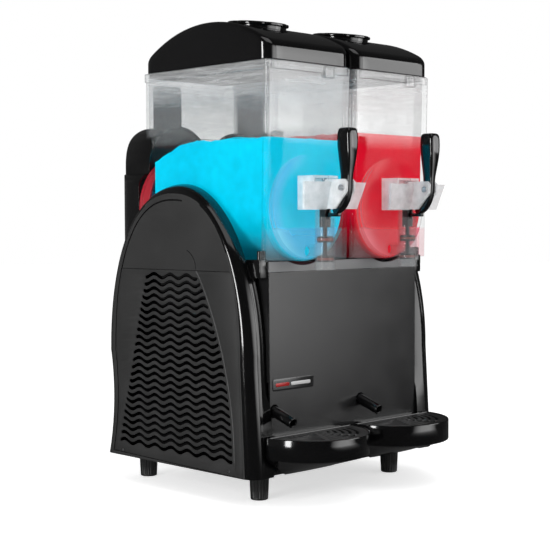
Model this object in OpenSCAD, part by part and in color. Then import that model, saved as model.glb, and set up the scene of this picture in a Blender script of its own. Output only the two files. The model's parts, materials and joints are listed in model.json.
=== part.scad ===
// Two-bowl countertop slush machine.
// Frame: X to the machine's right, -Y to the front, Z up, counter at Z = 0,
// origin under the middle of the overall box. All sizes in millimetres.

/* [Overall] */
// Width over the two side cheeks
machine_w = 470; // [466:1:474]
// Depth from the drip tray fronts to the back of the motor cover
machine_d = 510; // [508:2:514]
// Height of the feet
foot_h = 47; // [44:1:50]

/* [Cabinet] */
// Thickness of a cheek below the deck
cheek_t = 48; // [46:1:50]
// Thickness of a cheek beside the bowls
cheek_upper_t = 27; // [25:1:28]
// Height of the split between cheek and louvre panel
seam_z = 383; // [380:1:386]
// Number of louvre rows in a side panel
louvre_rows = 25; // [8:1:26]
// Height of one louvre slot
louvre_h = 4.6; // [3:0.1:5.5]

/* [Bowls] */
// Distance between the two bowl axes
bowl_pitch = 212; // [210:1:214]
// Height of the bowl and auger axis
axis_z = 489; // [487:1:491]
// Outer radius of the round bowl bottom
bowl_r = 95; // [94:0.5:96]
// Wall thickness of a bowl
bowl_wall = 4; // [3:0.5:4]
// Height of the bowl rim
rim_z = 726; // [720:1:730]

/* [Drive] */
// Radius of the evaporator drum
drum_r = 60; // [55:1:63]
// Outer radius of the auger blade
auger_r = 86; // [82:1:87]
// Radius of the drive shaft
shaft_r = 5; // [4:0.5:6]

/* [Taps] */
// Bore radius of the spout
spout_bore_r = 14; // [13:0.5:14]
// Radius of the tap lever's pivot pin
pin_r = 3; // [2.5:0.1:3]

/* [Hidden] */

$fn = 64;
tiny = 0.01;
half_w = machine_w / 2;
front_y = -machine_d / 2;
back_y = machine_d / 2;
inner_x = half_w - cheek_t;
upper_x = half_w - cheek_upper_t;
bowl_x = bowl_pitch / 2;

// Cabinet planes
panel_y = -141;
panel_t = 3;
pan_t = 2;
deck_t = 4;
deck_z = seam_z - 1;
lip_z = 399;
rear_y = 217;
bulkhead_y = 180;
bulkhead_t = 3;
gasket_y0 = 147;
gasket_y1 = 174;
bulkhead_hole_r = 30;

// Cheek outline: an arch over nearly straight sides, with a slight waist at the rear
arch_y = 47;
arch_z = 235;
waist_z = 168;
rim_layers = 6;
groove_inset = 12;
shell_t = 4;
panel_plate_t = 3;

// Feet
foot_x = 167.5;
foot_front_y = -95.5;
foot_rear_y = 197;
foot_top_r = 16.8;
foot_bottom_r = 15;

// Bowl planes
skirt_z = 400;
front_top_y = -158;
front_lean = 8;
skirt_half_w = 100;
front_t = 5;
bowl_back_y = 141;
bowl_top_back_y = 157;
bowl_step_z = 612;
collar_r = 93;
collar_bore_r = 89.5;
collar_back_y = 165;
flange_h = 15;
slush_gap = 0.3;

// Lid: part of a long horizontal cylinder over straight skirts
lid_half_w = 101;
lid_front_y = -158.5;
lid_back_y = 156;
lid_corner_r = 22;
lid_arc_y = -8;
lid_arc_r = 274;
lid_arc_z = 525.5;
lid_t = 3;
cap_y = -33;
cap_r = 53;
cap_neck_r = 44;
cap_h = 6.8;
cap_tilt = asin((lid_arc_y - cap_y) / lid_arc_r);
cap_seat_z = lid_arc_z + lid_arc_r * cos(cap_tilt);

// Drive
drum_front_y = -118;
barrel_flange_r = 91;
shaft_front_y = -134;
fan_y = 35;
fan_z = 170;
fan_r = 80;
fan_shaft_r = 4;

// Tap
spout_y = -190;
spout_r = 17;
spout_top_z = 483;
notch_z = 471.5;
spout_z = 385;
outlet_z = 415;
outlet_r = 8;
pivot_y = -238;
pivot_z = 519;
rod_r = 3.5;
seal_gap = 0.05;
clevis_z = 455;
clevis_half_w = 7;
cross_pin_z = 483;
cross_pin_r = 3;
tongue_half_w = 3.4;
tongue_z = 472.5;
spring_top_z = 536;
spring_z = 488;
spring_r = 5.2;
spring_wire_r = 0.8;
spring_turns = 7;
block_half_w = 29;
block_z = 484;
block_top_z = 540;
guard_top_z = 529;
guard_top_y = -215;
guard_low_y = -204;
guard_t = 4;
ear_x = 9.2;
ear_t = 4;
slot_half_w = 7;

// Drip tray
tray_arc_y = -154;
tray_r = tray_arc_y - front_y;
tray_neck_half_w = 79.5;
tray_top_z = 114;
tray_wall_z = 78;
tray_t = 2.5;
grille_gap = 0.5;

// ---------- shared helpers ----------

// Extrudes a profile drawn as (Y, Z) along X from x0 to x1
module along_x(x0, x1) {
    translate([x0, 0, 0])
        rotate([90, 0, 90])
            linear_extrude(x1 - x0)
                children();
}

// Extrudes a profile drawn as (X, Z) along Y from y0 to y1
module along_y(y0, y1) {
    translate([0, y1, 0])
        rotate([90, 0, 0])
            linear_extrude(y1 - y0)
                children();
}

// Box from its lowest to its highest corner
module box(lo, hi) {
    translate(lo)
        cube(hi - lo);
}

// Cylinder lying along X
module rod_x(x0, x1, y, z, r) {
    translate([x0, y, z])
        rotate([0, 90, 0])
            cylinder(r = r, h = x1 - x0);
}

// Cylinder lying along Y
module rod_y(y0, y1, x, z, r) {
    translate([x, y1, z])
        rotate([90, 0, 0])
            cylinder(r = r, h = y1 - y0);
}

// Plan rectangle with rounded vertical corners
module rounded_plan(x0, x1, y0, y1, r) {
    union() {
        translate([x0 + r, y0])
            square([x1 - x0 - 2 * r, y1 - y0]);
        translate([x0, y0 + r])
            square([x1 - x0, y1 - y0 - 2 * r]);
        for (x = [x0 + r, x1 - r], y = [y0 + r, y1 - r])
            translate([x, y])
                circle(r);
    }
}

// Places a bowl-bay part on the left (side = -1) or right (side = 1) axis
module bay(side) {
    translate([side * bowl_x, 0, 0])
        children();
}

// ---------- cheeks and louvre panels ----------

function power_cos(a, n) = sign(cos(a)) * pow(abs(cos(a)), 2 / n);
function power_sin(a, n) = pow(abs(sin(a)), 2 / n);

// Cheek outline as (Y, Z): w = 0 is the flat side face, w = 1 the full depth of the rim
function cheek_points(w, inset = 0) =
    let (
        a = 165 + 23 * w - inset,
        b = 275 + 20 * w - inset,
        n = 2.3 - 0.3 * w,
        low = foot_h + max(inset, 0)
    )
    concat(
        [[arch_y - 174.7 - 24.8 * w + inset, low]],
        [for (i = [0 : 32])
            let (t = 180 - i * 180 / 32)
            [arch_y + a * power_cos(t, n), arch_z + b * power_sin(t, n)]],
        [[arch_y + 159 + 20 * w - inset, waist_z]],
        [[arch_y + 173 + 20 * w - inset, low]]
    );

// Rounded cheek rim as a stack of layers between the flat face and the full outline
module cheek_body() {
    step = cheek_upper_t / rim_layers;
    for (i = [0 : rim_layers - 1]) {
        depth = (i + 0.5) / rim_layers;
        along_x(-half_w + i * step, -half_w + (i + 1) * step)
            polygon(cheek_points(sqrt(1 - pow(1 - depth, 2))));
    }
    intersection() {
        along_x(-upper_x - tiny, -inner_x)
            polygon(cheek_points(1));
        box([-half_w, -300, 0], [0, 300, lip_z]);
    }
}

module cheek_cavity() {
    along_x(-half_w + shell_t + panel_plate_t, -upper_x - 3)
        polygon(cheek_points(0.2, shell_t + 4));
    intersection() {
        along_x(-upper_x - 3 - tiny, -inner_x + 1)
            polygon(cheek_points(1, shell_t));
        box([-half_w, -300, 0], [0, 300, lip_z - 3]);
    }
}

module louvre_opening(inset) {
    intersection() {
        polygon(cheek_points(0, inset));
        translate([-300, 0])
            square([600, seam_z - inset]);
    }
}

module left_cheek_shape() {
    difference() {
        cheek_body();
        cheek_cavity();
        along_x(-half_w - 1, -half_w + panel_plate_t)
            louvre_opening(0);
        along_x(-half_w, -half_w + 20)
            louvre_opening(groove_inset);
        for (y = screw_ys)
            rod_x(-half_w, -half_w + 9, y, screw_z, 2.3);
    }
}

// One wavy slot as a closed band between two offset waves
function wave_z(y) = 3.3 * cos((y - 97) * 360 / 43);
function wave_points(y0, y1, z, h) =
    let (n = ceil((y1 - y0) / 7))
    concat(
        [for (i = [0 : n]) let (y = y0 + (y1 - y0) * i / n) [y, z + wave_z(y) - h / 2]],
        [for (i = [n : -1 : 0]) let (y = y0 + (y1 - y0) * i / n) [y, z + wave_z(y) + h / 2]]
    );

louvre_top_z = 372;
louvre_bottom_z = 74;
louvre_top_front_y = -13;
louvre_bottom_front_y = -104;
louvre_top_back_y = 119;
louvre_bottom_back_y = 194;

module left_louvre_shape() {
    difference() {
        along_x(-half_w, -half_w + panel_plate_t)
            louvre_opening(0.4);
        for (i = [0 : louvre_rows - 1]) {
            s = i / (louvre_rows - 1);
            z = louvre_top_z + (louvre_bottom_z - louvre_top_z) * s;
            front = louvre_top_front_y
                + (louvre_bottom_front_y - louvre_top_front_y) * sin(90 * s);
            back = louvre_top_back_y + (louvre_bottom_back_y - louvre_top_back_y) * s;
            along_x(-half_w - 1, -half_w + panel_plate_t + 1)
                polygon(wave_points(front, back, z, louvre_h));
        }
        for (y = screw_ys)
            rod_x(-half_w - 1, -half_w + panel_plate_t + 1, y, screw_z, 2.6);
    }
}

screw_ys = [-93, 187];
screw_z = 56;

module left_cheek() {
    color("#161616")
        left_cheek_shape();
}

module right_cheek() {
    color("#161616")
        difference() {
            mirror([1, 0, 0])
                left_cheek_shape();
            for (y = switch_ys)
                box([half_w - 8, y - 10, switch_z - 14], [half_w + 1, y + 10, switch_z + 14]);
        }
}

module left_louvre_panel() {
    color("#2c2c2c")
        left_louvre_shape();
}

module right_louvre_panel() {
    color("#2c2c2c")
        mirror([1, 0, 0])
            left_louvre_shape();
}

// ---------- switches on the right cheek ----------

switch_ys = [-10, 40, 90];
switch_z = 430;

// Rocker switch: a rounded key turning on a pin inside its opening
module rocker(y) {
    intersection() {
        rod_y(y - 9.5, y + 9.5, half_w - 4.5, switch_z, 13.2);
        box([half_w - 7.5, y - 9.5, switch_z - 13], [half_w, y + 9.5, switch_z + 13]);
    }
}

module main_switch() {
    color("#c01818")
        rocker(switch_ys[0]);
}

module mode_switch_left() {
    color("#202020")
        rocker(switch_ys[1]);
}

module mode_switch_right() {
    color("#202020")
        rocker(switch_ys[2]);
}

// ---------- cabinet ----------

module base_pan() {
    color("#8a8d90")
        difference() {
            box([-inner_x, panel_y + panel_t, foot_h], [inner_x, rear_y, foot_h + 25]);
            box([-inner_x + pan_t, panel_y + panel_t + pan_t, foot_h + pan_t],
                [inner_x - pan_t, rear_y - pan_t, foot_h + 26]);
            for (x = [-foot_x, foot_x], y = [foot_front_y, foot_rear_y])
                translate([x, y, foot_h - 1])
                    cylinder(r = 4.2, h = 4);
        }
}

module feet() {
    color("#1a1a1a")
        for (x = [-foot_x, foot_x], y = [foot_front_y, foot_rear_y])
            translate([x, y, 0]) {
                cylinder(r1 = foot_bottom_r, r2 = foot_top_r, h = foot_h);
                cylinder(r = 4, h = foot_h + 12);
            }
}

// Folded sheet: face with a return along each side, above the drain tubes
return_d = 60;
return_z = 200;

module front_panel() {
    color("#2b2c2e")
        difference() {
            box([-inner_x, panel_y, foot_h], [inner_x, panel_y + return_d, deck_z]);
            box([-inner_x + panel_t, panel_y + panel_t, foot_h - 1],
                [inner_x - panel_t, panel_y + return_d + 1, deck_z + 1]);
            box([-inner_x - 1, panel_y + panel_t, foot_h - 1],
                [inner_x + 1, panel_y + return_d + 1, return_z]);
            for (s = [-1, 1])
                rod_y(panel_y - 1, panel_y + panel_t + 1, s * bowl_x + drain_dx, drain_z + 0.5, 10.4);
        }
}

module rear_panel() {
    color("#3a3b3d")
        difference() {
            box([-inner_x, rear_y, foot_h], [inner_x, rear_y + panel_t, deck_z]);
            for (x = [-120 : 20 : 20], z = [110 : 30 : 290])
                box([x, rear_y - 1, z], [x + 14, rear_y + panel_t + 1, z + 8]);
            box([92, rear_y - 1, 74], [128, rear_y + panel_t + 1, 106]);
        }
}

module top_deck() {
    color("#202122")
        difference() {
            union() {
                box([-inner_x, panel_y, deck_z], [inner_x, rear_y + panel_t, deck_z + deck_t]);
                box([-inner_x, panel_y, deck_z], [inner_x, panel_y + 6, lip_z]);
            }
            for (s = [-1, 1])
                rod_y(panel_y - 1, panel_y + 7, s * bowl_x, axis_z, bowl_r + 2);
            for (s = [-1, 1])
                rod_z(s * bowl_x + drain_dx, -110, deck_z - 1, deck_z + deck_t + 1, 7);
            box([-60, bulkhead_y + 10, deck_z - 1], [60, rear_y - 5, deck_z + deck_t + 1]);
        }
}

module rod_z(x, y, z0, z1, r) {
    translate([x, y, z0])
        cylinder(r = r, h = z1 - z0);
}

// Rear outline of the upper housing as (X, Z): body and one arched hump per bowl
hump_r = 72;
hump_z = 568;
post_half_w = 29;
post_top_z = 715;
body_half_w = 203;
body_top_z = 552;

module housing_outline(inset) {
    r = 24;
    union() {
        translate([-inner_x + inset + 1, deck_z + deck_t])
            square([2 * (inner_x - inset - 1), 30]);
        difference() {
            translate([-body_half_w + inset, lip_z + 3])
                square([2 * (body_half_w - inset), body_top_z - inset - lip_z - 3]);
            for (s = [-1, 1])
                translate([s * (body_half_w - inset - r / 2 + 1), body_top_z - inset - r / 2 + 1])
                    square([r + 2, r + 2], center = true);
        }
        for (s = [-1, 1])
            translate([s * (body_half_w - inset - r), body_top_z - inset - r])
                circle(r);
        for (s = [-1, 1])
            translate([s * bowl_x, 0])
                union() {
                    translate([0, hump_z])
                        circle(hump_r - inset);
                    translate([-hump_r + inset, body_top_z - 40])
                        square([2 * (hump_r - inset), hump_z - body_top_z + 40]);
                }
    }
}

// Two flat hollow posts that stand on the humps behind the bowls
post_y = 204;
post_t = 12;
post_foot_z = 628;
post_corner_r = 8;

module posts_outline(inset) {
    w = post_half_w - inset;
    foot = post_foot_z - 2 * inset;
    top = post_top_z - inset;
    for (s = [-1, 1])
        translate([s * bowl_x, 0])
            union() {
                translate([-w, foot])
                    square([2 * w, top - post_corner_r - foot]);
                translate([-w + post_corner_r, foot])
                    square([2 * (w - post_corner_r), top - foot]);
                for (t = [-1, 1])
                    translate([t * (w - post_corner_r), top - post_corner_r])
                        circle(post_corner_r);
            }
}

module rear_bulkhead() {
    color("#1c1c1c")
        difference() {
            along_y(bulkhead_y, bulkhead_y + bulkhead_t)
                housing_outline(3.2);
            for (s = [-1, 1])
                rod_y(bulkhead_y - 1, bulkhead_y + 4, s * bowl_x, axis_z, bulkhead_hole_r);
            box([-half_w, bulkhead_y - 1, 0], [half_w, bulkhead_y + 4, deck_z + deck_t + 3.2]);
        }
}

// Plan of the cover: rounded rear corners
module cover_plan(inset) {
    r = 58 - inset;
    union() {
        translate([-body_half_w + inset, gasket_y1 + 2])
            square([2 * (body_half_w - inset), back_y - inset - r - gasket_y1 - 2]);
        translate([-body_half_w + inset + r, gasket_y1 + 2])
            square([2 * (body_half_w - inset - r), back_y - inset - gasket_y1 - 2]);
        for (s = [-1, 1])
            translate([s * (body_half_w - inset - r), back_y - inset - r])
                circle(r);
    }
}

module motor_cover() {
    color("#191919")
        difference() {
            union() {
                intersection() {
                    along_y(gasket_y1 + 2, back_y)
                        housing_outline(0);
                    translate([0, 0, deck_z])
                        linear_extrude(400)
                            cover_plan(0);
                }
                along_y(post_y, post_y + post_t)
                    posts_outline(0);
            }
            intersection() {
                along_y(gasket_y1, back_y - 3)
                    housing_outline(3);
                translate([0, 0, deck_z + deck_t + 3])
                    linear_extrude(400)
                        cover_plan(3);
            }
            along_y(post_y + 3, post_y + post_t - 3)
                posts_outline(3);
            box([-60, bulkhead_y + 10, deck_z], [60, rear_y - 5, deck_z + deck_t + 4]);
            for (x = [-70 : 14 : 70])
                box([x - 3, back_y - 10, 430], [x + 3, back_y + 1, 500]);
        }
}

drain_dx = -70;
drain_z = 153;
drain_tilt = 19;

module drain_tubes() {
    color("#141414")
        for (s = [-1, 1])
            translate([s * bowl_x + drain_dx, panel_y, drain_z])
                rotate([90 + drain_tilt, 0, 0])
                    difference() {
                        translate([0, 0, -14])
                            cylinder(r = 9, h = 60);
                        translate([0, 0, -15])
                            cylinder(r = 6, h = 62);
                    }
}

module name_plate() {
    color("#3a3c40")
        box([-180, panel_y - 1.2, 186], [-84, panel_y, 206]);
}

module panel_screws() {
    color("#303030")
        for (s = [-1, 1], y = screw_ys)
            mirror([s > 0 ? 1 : 0, 0, 0])
                union() {
                    rod_x(-half_w + 0.4, -half_w + 8, y, screw_z, 2.2);
                    rod_x(-half_w + 0.2, -half_w + 1.6, y, screw_z, 2.5);
                }
}

// ---------- refrigeration and controls inside the cabinet ----------

module compressor() {
    color("#202224")
        translate([70, 60, foot_h + pan_t])
            union() {
                translate([0, 0, 12])
                    cylinder(r = 64, h = 110);
                translate([0, 0, 122])
                    cylinder(r1 = 64, r2 = 34, h = 26);
                for (x = [-60, 60], y = [-60, 60])
                    translate([x, y, 0])
                        cylinder(r = 9, h = 14);
                box([-69, -69, 10], [69, 69, 14]);
            }
}

module condenser() {
    color("#b8bcc0")
        union() {
            for (i = [0 : 21])
                box([-172, -74 + i * 10, 66], [-142, -72 + i * 10, 274]);
            for (z = [84 : 32 : 260])
                rod_y(-78, 142, -157, z, 4.5);
            box([-172, -78, foot_h + pan_t], [-142, 142, 66]);
        }
}

module fan_shroud() {
    color("#6f7478")
        difference() {
            box([-142, -70, 66], [-114, 140, 272]);
            rod_x(-143, -116, fan_y, fan_z, fan_r + 4);
            rod_x(-143, -113, fan_y, fan_z, fan_r - 2);
        }
}

module fan_motor() {
    color("#3c4044")
        union() {
            rod_x(-106, -60, fan_y, fan_z, 30);
            rod_x(-134, -60, fan_y, fan_z, fan_shaft_r);
            for (a = [0, 120, 240])
                translate([0, fan_y, fan_z])
                    rotate([a, 0, 0])
                        box([-114, -4, 20], [-108, 4, 100]);
            rod_x(-114, -106, fan_y, fan_z, 28);
            box([-100, fan_y - 14, foot_h + pan_t], [-66, fan_y + 14, fan_z]);
        }
}

module fan_blade() {
    color("#d8dadc")
        difference() {
            union() {
                rod_x(-137, -119, fan_y, fan_z, 20);
                for (a = [0 : 72 : 288])
                    translate([-128, fan_y, fan_z])
                        rotate([a, 0, 0])
                            rotate([0, 0, 28])
                                box([-1, -14, 16], [1, 14, fan_r - 3]);
            }
            rod_x(-138, -118, fan_y, fan_z, fan_shaft_r + seal_gap);
        }
}

module refrigerant_lines() {
    color("#b87333")
        union() {
            tube_path([[70, 30, 197], [70, 30, 350], [20, 30, 350], [20, 200, 350],
                [20, 200, axis_z], [20, bulkhead_y + bulkhead_t + 4, axis_z]], 4);
            tube_path([[-157, 142, 90], [-157, 160, 90], [-40, 160, 90], [-40, 200, 90],
                [-40, 200, axis_z], [-40, bulkhead_y + bulkhead_t + 3, axis_z]], 3);
        }
}

// Round tube through a list of corners, with a brazed ball joint at every bend
module tube_path(p, r) {
    for (i = [0 : len(p) - 2]) {
        d = p[i + 1] - p[i];
        len = norm(d);
        translate(p[i])
            rotate([0, acos(d.z / len), atan2(d.y, d.x)])
                cylinder(r = r, h = len, $fn = 24);
    }
    for (i = [1 : len(p) - 2])
        translate(p[i])
            sphere(r = r + 1, $fn = 24);
}

module control_box() {
    color("#707478")
        union() {
            box([60, panel_y + 10, 240], [170, panel_y + 70, 350]);
            box([80, panel_y + 3, 260], [90, panel_y + 10, 330]);
            box([140, panel_y + 3, 260], [150, panel_y + 10, 330]);
        }
}

module power_inlet() {
    color("#151515")
        difference() {
            union() {
                box([92, rear_y - 22, 74], [128, rear_y + panel_t, 106]);
                box([86, rear_y + panel_t, 70], [134, rear_y + panel_t + 2.5, 110]);
            }
            box([97, rear_y - 16, 79], [123, rear_y + 10, 101]);
        }
}

// ---------- drive ----------

module gear_motor() {
    y0 = bulkhead_y + bulkhead_t;
    difference() {
        union() {
            box([-44, y0, axis_z - 40], [44, y0 + 24, axis_z + 48]);
            rod_y(y0 + 24, y0 + 62, 0, axis_z + 22, 36);
            rod_y(bulkhead_y - 4, y0, 0, axis_z, bulkhead_hole_r - 1);
        }
        rod_y(bulkhead_y - 5, y0 + 20, 0, axis_z, shaft_r + seal_gap);
    }
}

module evaporator() {
    difference() {
        union() {
            rod_y(drum_front_y, 170, 0, axis_z, drum_r);
            rod_y(166, gasket_y1, 0, axis_z, collar_bore_r - 6);
            rod_y(gasket_y1, bulkhead_y, 0, axis_z, barrel_flange_r);
        }
        rod_y(drum_front_y + 3, 160, 0, axis_z, drum_r - 2);
        rod_y(bulkhead_y - 5, bulkhead_y + 1, 0, axis_z, bulkhead_hole_r);
        rod_y(drum_front_y - 1, bulkhead_y + 1, 0, axis_z, shaft_r + seal_gap);
    }
}

module shaft_seals() {
    color("#222222")
        for (s = [-1, 1])
            bay(s)
                difference() {
                    rod_y(drum_front_y - 4, drum_front_y, 0, axis_z, 13);
                    rod_y(drum_front_y - 5, drum_front_y + 1, 0, axis_z, shaft_r + seal_gap);
                }
}

module barrel_gaskets() {
    color("#c2182b")
        for (s = [-1, 1])
            bay(s)
                difference() {
                    union() {
                        rod_y(gasket_y0, gasket_y1, 0, axis_z, 96);
                        rod_y(gasket_y0, gasket_y0 + 6, 0, axis_z, 97.5);
                        rod_y(gasket_y1 - 7, gasket_y1, 0, axis_z, 97.5);
                    }
                    rod_y(gasket_y0 - 1, collar_back_y + 0.2, 0, axis_z, collar_r + 0.1);
                    rod_y(gasket_y0, gasket_y1 + 1, 0, axis_z, collar_bore_r - 6);
                }
}

module drive_shaft() {
    union() {
        rod_y(shaft_front_y, bulkhead_y + bulkhead_t + 18, 0, axis_z, shaft_r);
        rod_y(shaft_front_y - 5, shaft_front_y, 0, axis_z, 9);
    }
}

// Spiral blade turning round the drum, carried by a nose plate on the shaft
module auger() {
    length = 276;
    union() {
        difference() {
            rod_y(shaft_front_y, shaft_front_y + 4, 0, axis_z, auger_r);
            rod_y(shaft_front_y - 1, shaft_front_y + 5, 0, axis_z, shaft_r);
            for (a = [0 : 60 : 300])
                translate([0, 0, axis_z])
                    rotate([0, a, 0])
                        translate([0, 0, 48])
                            rod_y(shaft_front_y - 1, shaft_front_y + 5, 0, 0, 16);
        }
        translate([0, -130, axis_z])
            rotate([-90, 0, 0])
                linear_extrude(height = length, twist = -760, slices = 64, $fn = 8)
                    translate([drum_r + 5, -4])
                        square([auger_r - drum_r - 6, 8]);
    }
}

// ---------- bowls and slush ----------

// Front face of the bowl leans back slightly towards its foot
function front_y_at(z) = front_top_y + front_lean * (rim_z - z) / (rim_z - skirt_z);
boss_y = front_y_at(axis_z) - 3;
boss_r = 87;

// Everything behind the leaning front face, moved back by depth
module behind_front(depth) {
    along_x(-150, 150)
        polygon([
            [front_y_at(300) + depth, 300], [300, 300],
            [300, rim_z + 2], [front_y_at(rim_z + 2) + depth, rim_z + 2]
        ]);
}

module u_section(r, top = rim_z) {
    union() {
        translate([0, axis_z])
            circle(r);
        translate([-r, axis_z])
            square([2 * r, top - axis_z]);
    }
}

module bowl() {
    inner_r = bowl_r - bowl_wall;
    difference() {
        union() {
            intersection() {
                along_y(-170, bowl_back_y)
                    u_section(bowl_r);
                behind_front(1);
            }
            box([-bowl_r, bowl_back_y - 5, bowl_step_z], [bowl_r, bowl_top_back_y, rim_z]);
            along_x(-skirt_half_w, skirt_half_w)
                polygon([
                    [front_y_at(skirt_z), skirt_z], [front_y_at(skirt_z) + front_t, skirt_z],
                    [front_y_at(rim_z) + front_t, rim_z], [front_y_at(rim_z), rim_z]
                ]);
            rod_y(boss_y, boss_y + 3 + front_t, 0, axis_z, boss_r);
            translate([0, 0, rim_z - flange_h])
                linear_extrude(flange_h)
                    rounded_plan(-skirt_half_w, skirt_half_w, front_top_y - 2, 161.6, 14);
            rod_y(bowl_back_y - 2, collar_back_y, 0, axis_z, collar_r);
            rod_z(0, spout_y, spout_z, spout_top_z, spout_r);
            rod_y(spout_y, boss_y + 4, 0, outlet_z, outlet_r + 4);
            box([30, front_top_y - 6, rim_z - 22], [56, front_top_y, rim_z - 3]);
        }
        intersection() {
            along_y(-170, bowl_back_y - bowl_wall)
                u_section(inner_r, rim_z + 1);
            behind_front(front_t);
        }
        box([-inner_r, 0, bowl_step_z + bowl_wall],
            [inner_r, bowl_top_back_y - bowl_wall, rim_z + 1]);
        rod_y(bowl_back_y - 6, collar_back_y + 1, 0, axis_z, collar_bore_r);
        rod_z(0, spout_y, spout_z - 1, spout_top_z + 1, spout_bore_r);
        box([-spout_r - 1, spout_y - spout_r - 1, notch_z], [spout_r + 1, spout_y, spout_top_z + 1]);
        rod_y(spout_y, -140, 0, outlet_z, outlet_r);
    }
}

// Slush: fills the bowl round the swept space of the auger, its surface falling to the rear
module slush(front_z, rear_z) {
    r = bowl_r - bowl_wall - slush_gap;
    difference() {
        intersection() {
            along_y(-170, bowl_back_y - bowl_wall - slush_gap)
                u_section(r);
            behind_front(front_t + slush_gap);
            along_x(-r, r)
                polygon([[-160, 300], [150, 300], [150, rear_z], [60, front_z - 4], [-160, front_z]]);
        }
        rod_y(-140, 150, 0, axis_z, auger_r + 2);
        rod_y(-150, -139, 0, outlet_z, outlet_r + 1);
    }
}

// ---------- taps ----------

// Clear bracket: a hollow block on the bowl, ears for the lever and a leaning guard plate
module tap_bracket() {
    difference() {
        union() {
            along_x(-block_half_w, block_half_w)
                polygon([
                    [guard_low_y + guard_t, block_z], [boss_y, block_z], [boss_y, block_top_z],
                    [-192, block_top_z], [-192, guard_top_z], [guard_top_y, guard_top_z]
                ]);
            for (s = [-1, 1])
                along_x(s * ear_x - ear_t / 2, s * ear_x + ear_t / 2)
                    polygon([
                        [-247, 513], [-222, block_z + 1], [-200, block_z + 1],
                        [-200, 533], [-243, 533], [-248, 528]
                    ]);
            guard_plate();
        }
        box([-block_half_w + 4, -198, block_z - 1], [block_half_w - 4, boss_y - 5, spring_top_z]);
        box([-slot_half_w, -250, block_z - 1], [slot_half_w, -190, spring_top_z + 5]);
        rod_x(-20, 20, pivot_y, pivot_z, pin_r + seal_gap);
    }
}

// Guard plate: wider at the top, its foot set back
module guard_plate() {
    intersection() {
        along_x(-80, 80)
            polygon([
                [guard_top_y, guard_top_z], [guard_top_y + guard_t, guard_top_z],
                [guard_low_y + guard_t, block_z + 1], [guard_low_y, block_z + 1]
            ]);
        along_y(-230, -180)
            polygon([
                [-63, block_z], [63, block_z], [74, guard_top_z], [-74, guard_top_z]
            ]);
    }
}

module tap_pin() {
    union() {
        rod_x(-13, 13, pivot_y, pivot_z, pin_r);
        rod_x(-15, -13, pivot_y, pivot_z, pin_r + 2);
        rod_x(13, 15, pivot_y, pivot_z, pin_r + 2);
    }
}

// Lever spine from the grip's top down to the foot, as [Y, Z, radius, half width]
lever_spine = [
    [-240, 602, 13.5, 11], [-240, 586, 14.5, 12.8], [-239, 552, 11, 9], [-238.5, 540, 9.5, 6.2],
    [-238, 519, 9.5, 6],
    [-231, 497, 9, 6], [-225, 485, 7.5, 6]
];

module tap_handle() {
    difference() {
        union() {
            for (i = [0 : len(lever_spine) - 2])
                hull() {
                    lever_slice(lever_spine[i]);
                    lever_slice(lever_spine[i + 1]);
                }
            rod_x(-tongue_half_w, tongue_half_w, -225, 482, 9.5);
            box([-tongue_half_w, -225, tongue_z], [tongue_half_w, -185, tongue_z + 6]);
        }
        rod_x(-30, 30, pivot_y, pivot_z, pin_r + seal_gap);
    }
}

module lever_slice(p) {
    rod_x(-p[3], p[3], p[0], p[1], p[2], $fn = 32);
}

// Piston: two seal heads on a rod, with a clevis and cross pin for the lever's tongue
module tap_piston() {
    translate([0, spout_y, 0])
        difference() {
            union() {
                for (z = seal_zs)
                    cylinder_z(z - 5, z + 5, spout_bore_r - 1);
                cylinder_z(seal_zs[0], clevis_z + 2, rod_r);
                box([-clevis_half_w, -6, clevis_z], [clevis_half_w, 6, cross_pin_z + 4]);
            }
            box([-tongue_half_w - 0.6, -7, clevis_z + 13],
                [tongue_half_w + 0.6, 7, cross_pin_z + 5]);
            for (z = seal_zs)
                ring(z - 2, z + 2, spout_bore_r - 3, spout_bore_r);
        }
    rod_x(-clevis_half_w, clevis_half_w, spout_y, cross_pin_z, cross_pin_r);
}

seal_zs = [403, 435];

module cylinder_z(z0, z1, r) {
    translate([0, 0, z0])
        cylinder(r = r, h = z1 - z0);
}

module ring(z0, z1, inner, outer) {
    difference() {
        cylinder_z(z0, z1, outer);
        cylinder_z(z0 - 1, z1 + 1, inner);
    }
}

module piston_seals() {
    translate([0, spout_y, 0])
        for (z = seal_zs)
            ring(z - 2, z + 2, spout_bore_r - 3, spout_bore_r - seal_gap);
}

// Coil return spring between the cross pin and the bracket's ceiling, two tilted half rings a turn
module tap_spring() {
    pitch = (spring_top_z - spring_z - 2 * spring_wire_r - 1) / spring_turns;
    lean = atan(pitch / 4 / spring_r);
    translate([0, spout_y, spring_z + spring_wire_r + 0.5])
        for (i = [0 : spring_turns - 1])
            for (half = [0, 1])
                translate([0, 0, (i + 0.25 + half / 2) * pitch])
                    rotate([0, half == 0 ? lean : -lean, 0])
                        rotate(180 * half)
                            rotate_extrude(angle = 180, $fn = 24)
                                translate([spring_r, 0])
                                    circle(spring_wire_r, $fn = 16);
}

// ---------- lids and caps ----------

module lid_section(inset) {
    intersection() {
        translate([lid_arc_y, lid_arc_z])
            circle(lid_arc_r - inset, $fn = 180);
        translate([-300, rim_z - 12])
            square([600, 200]);
    }
}

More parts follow.
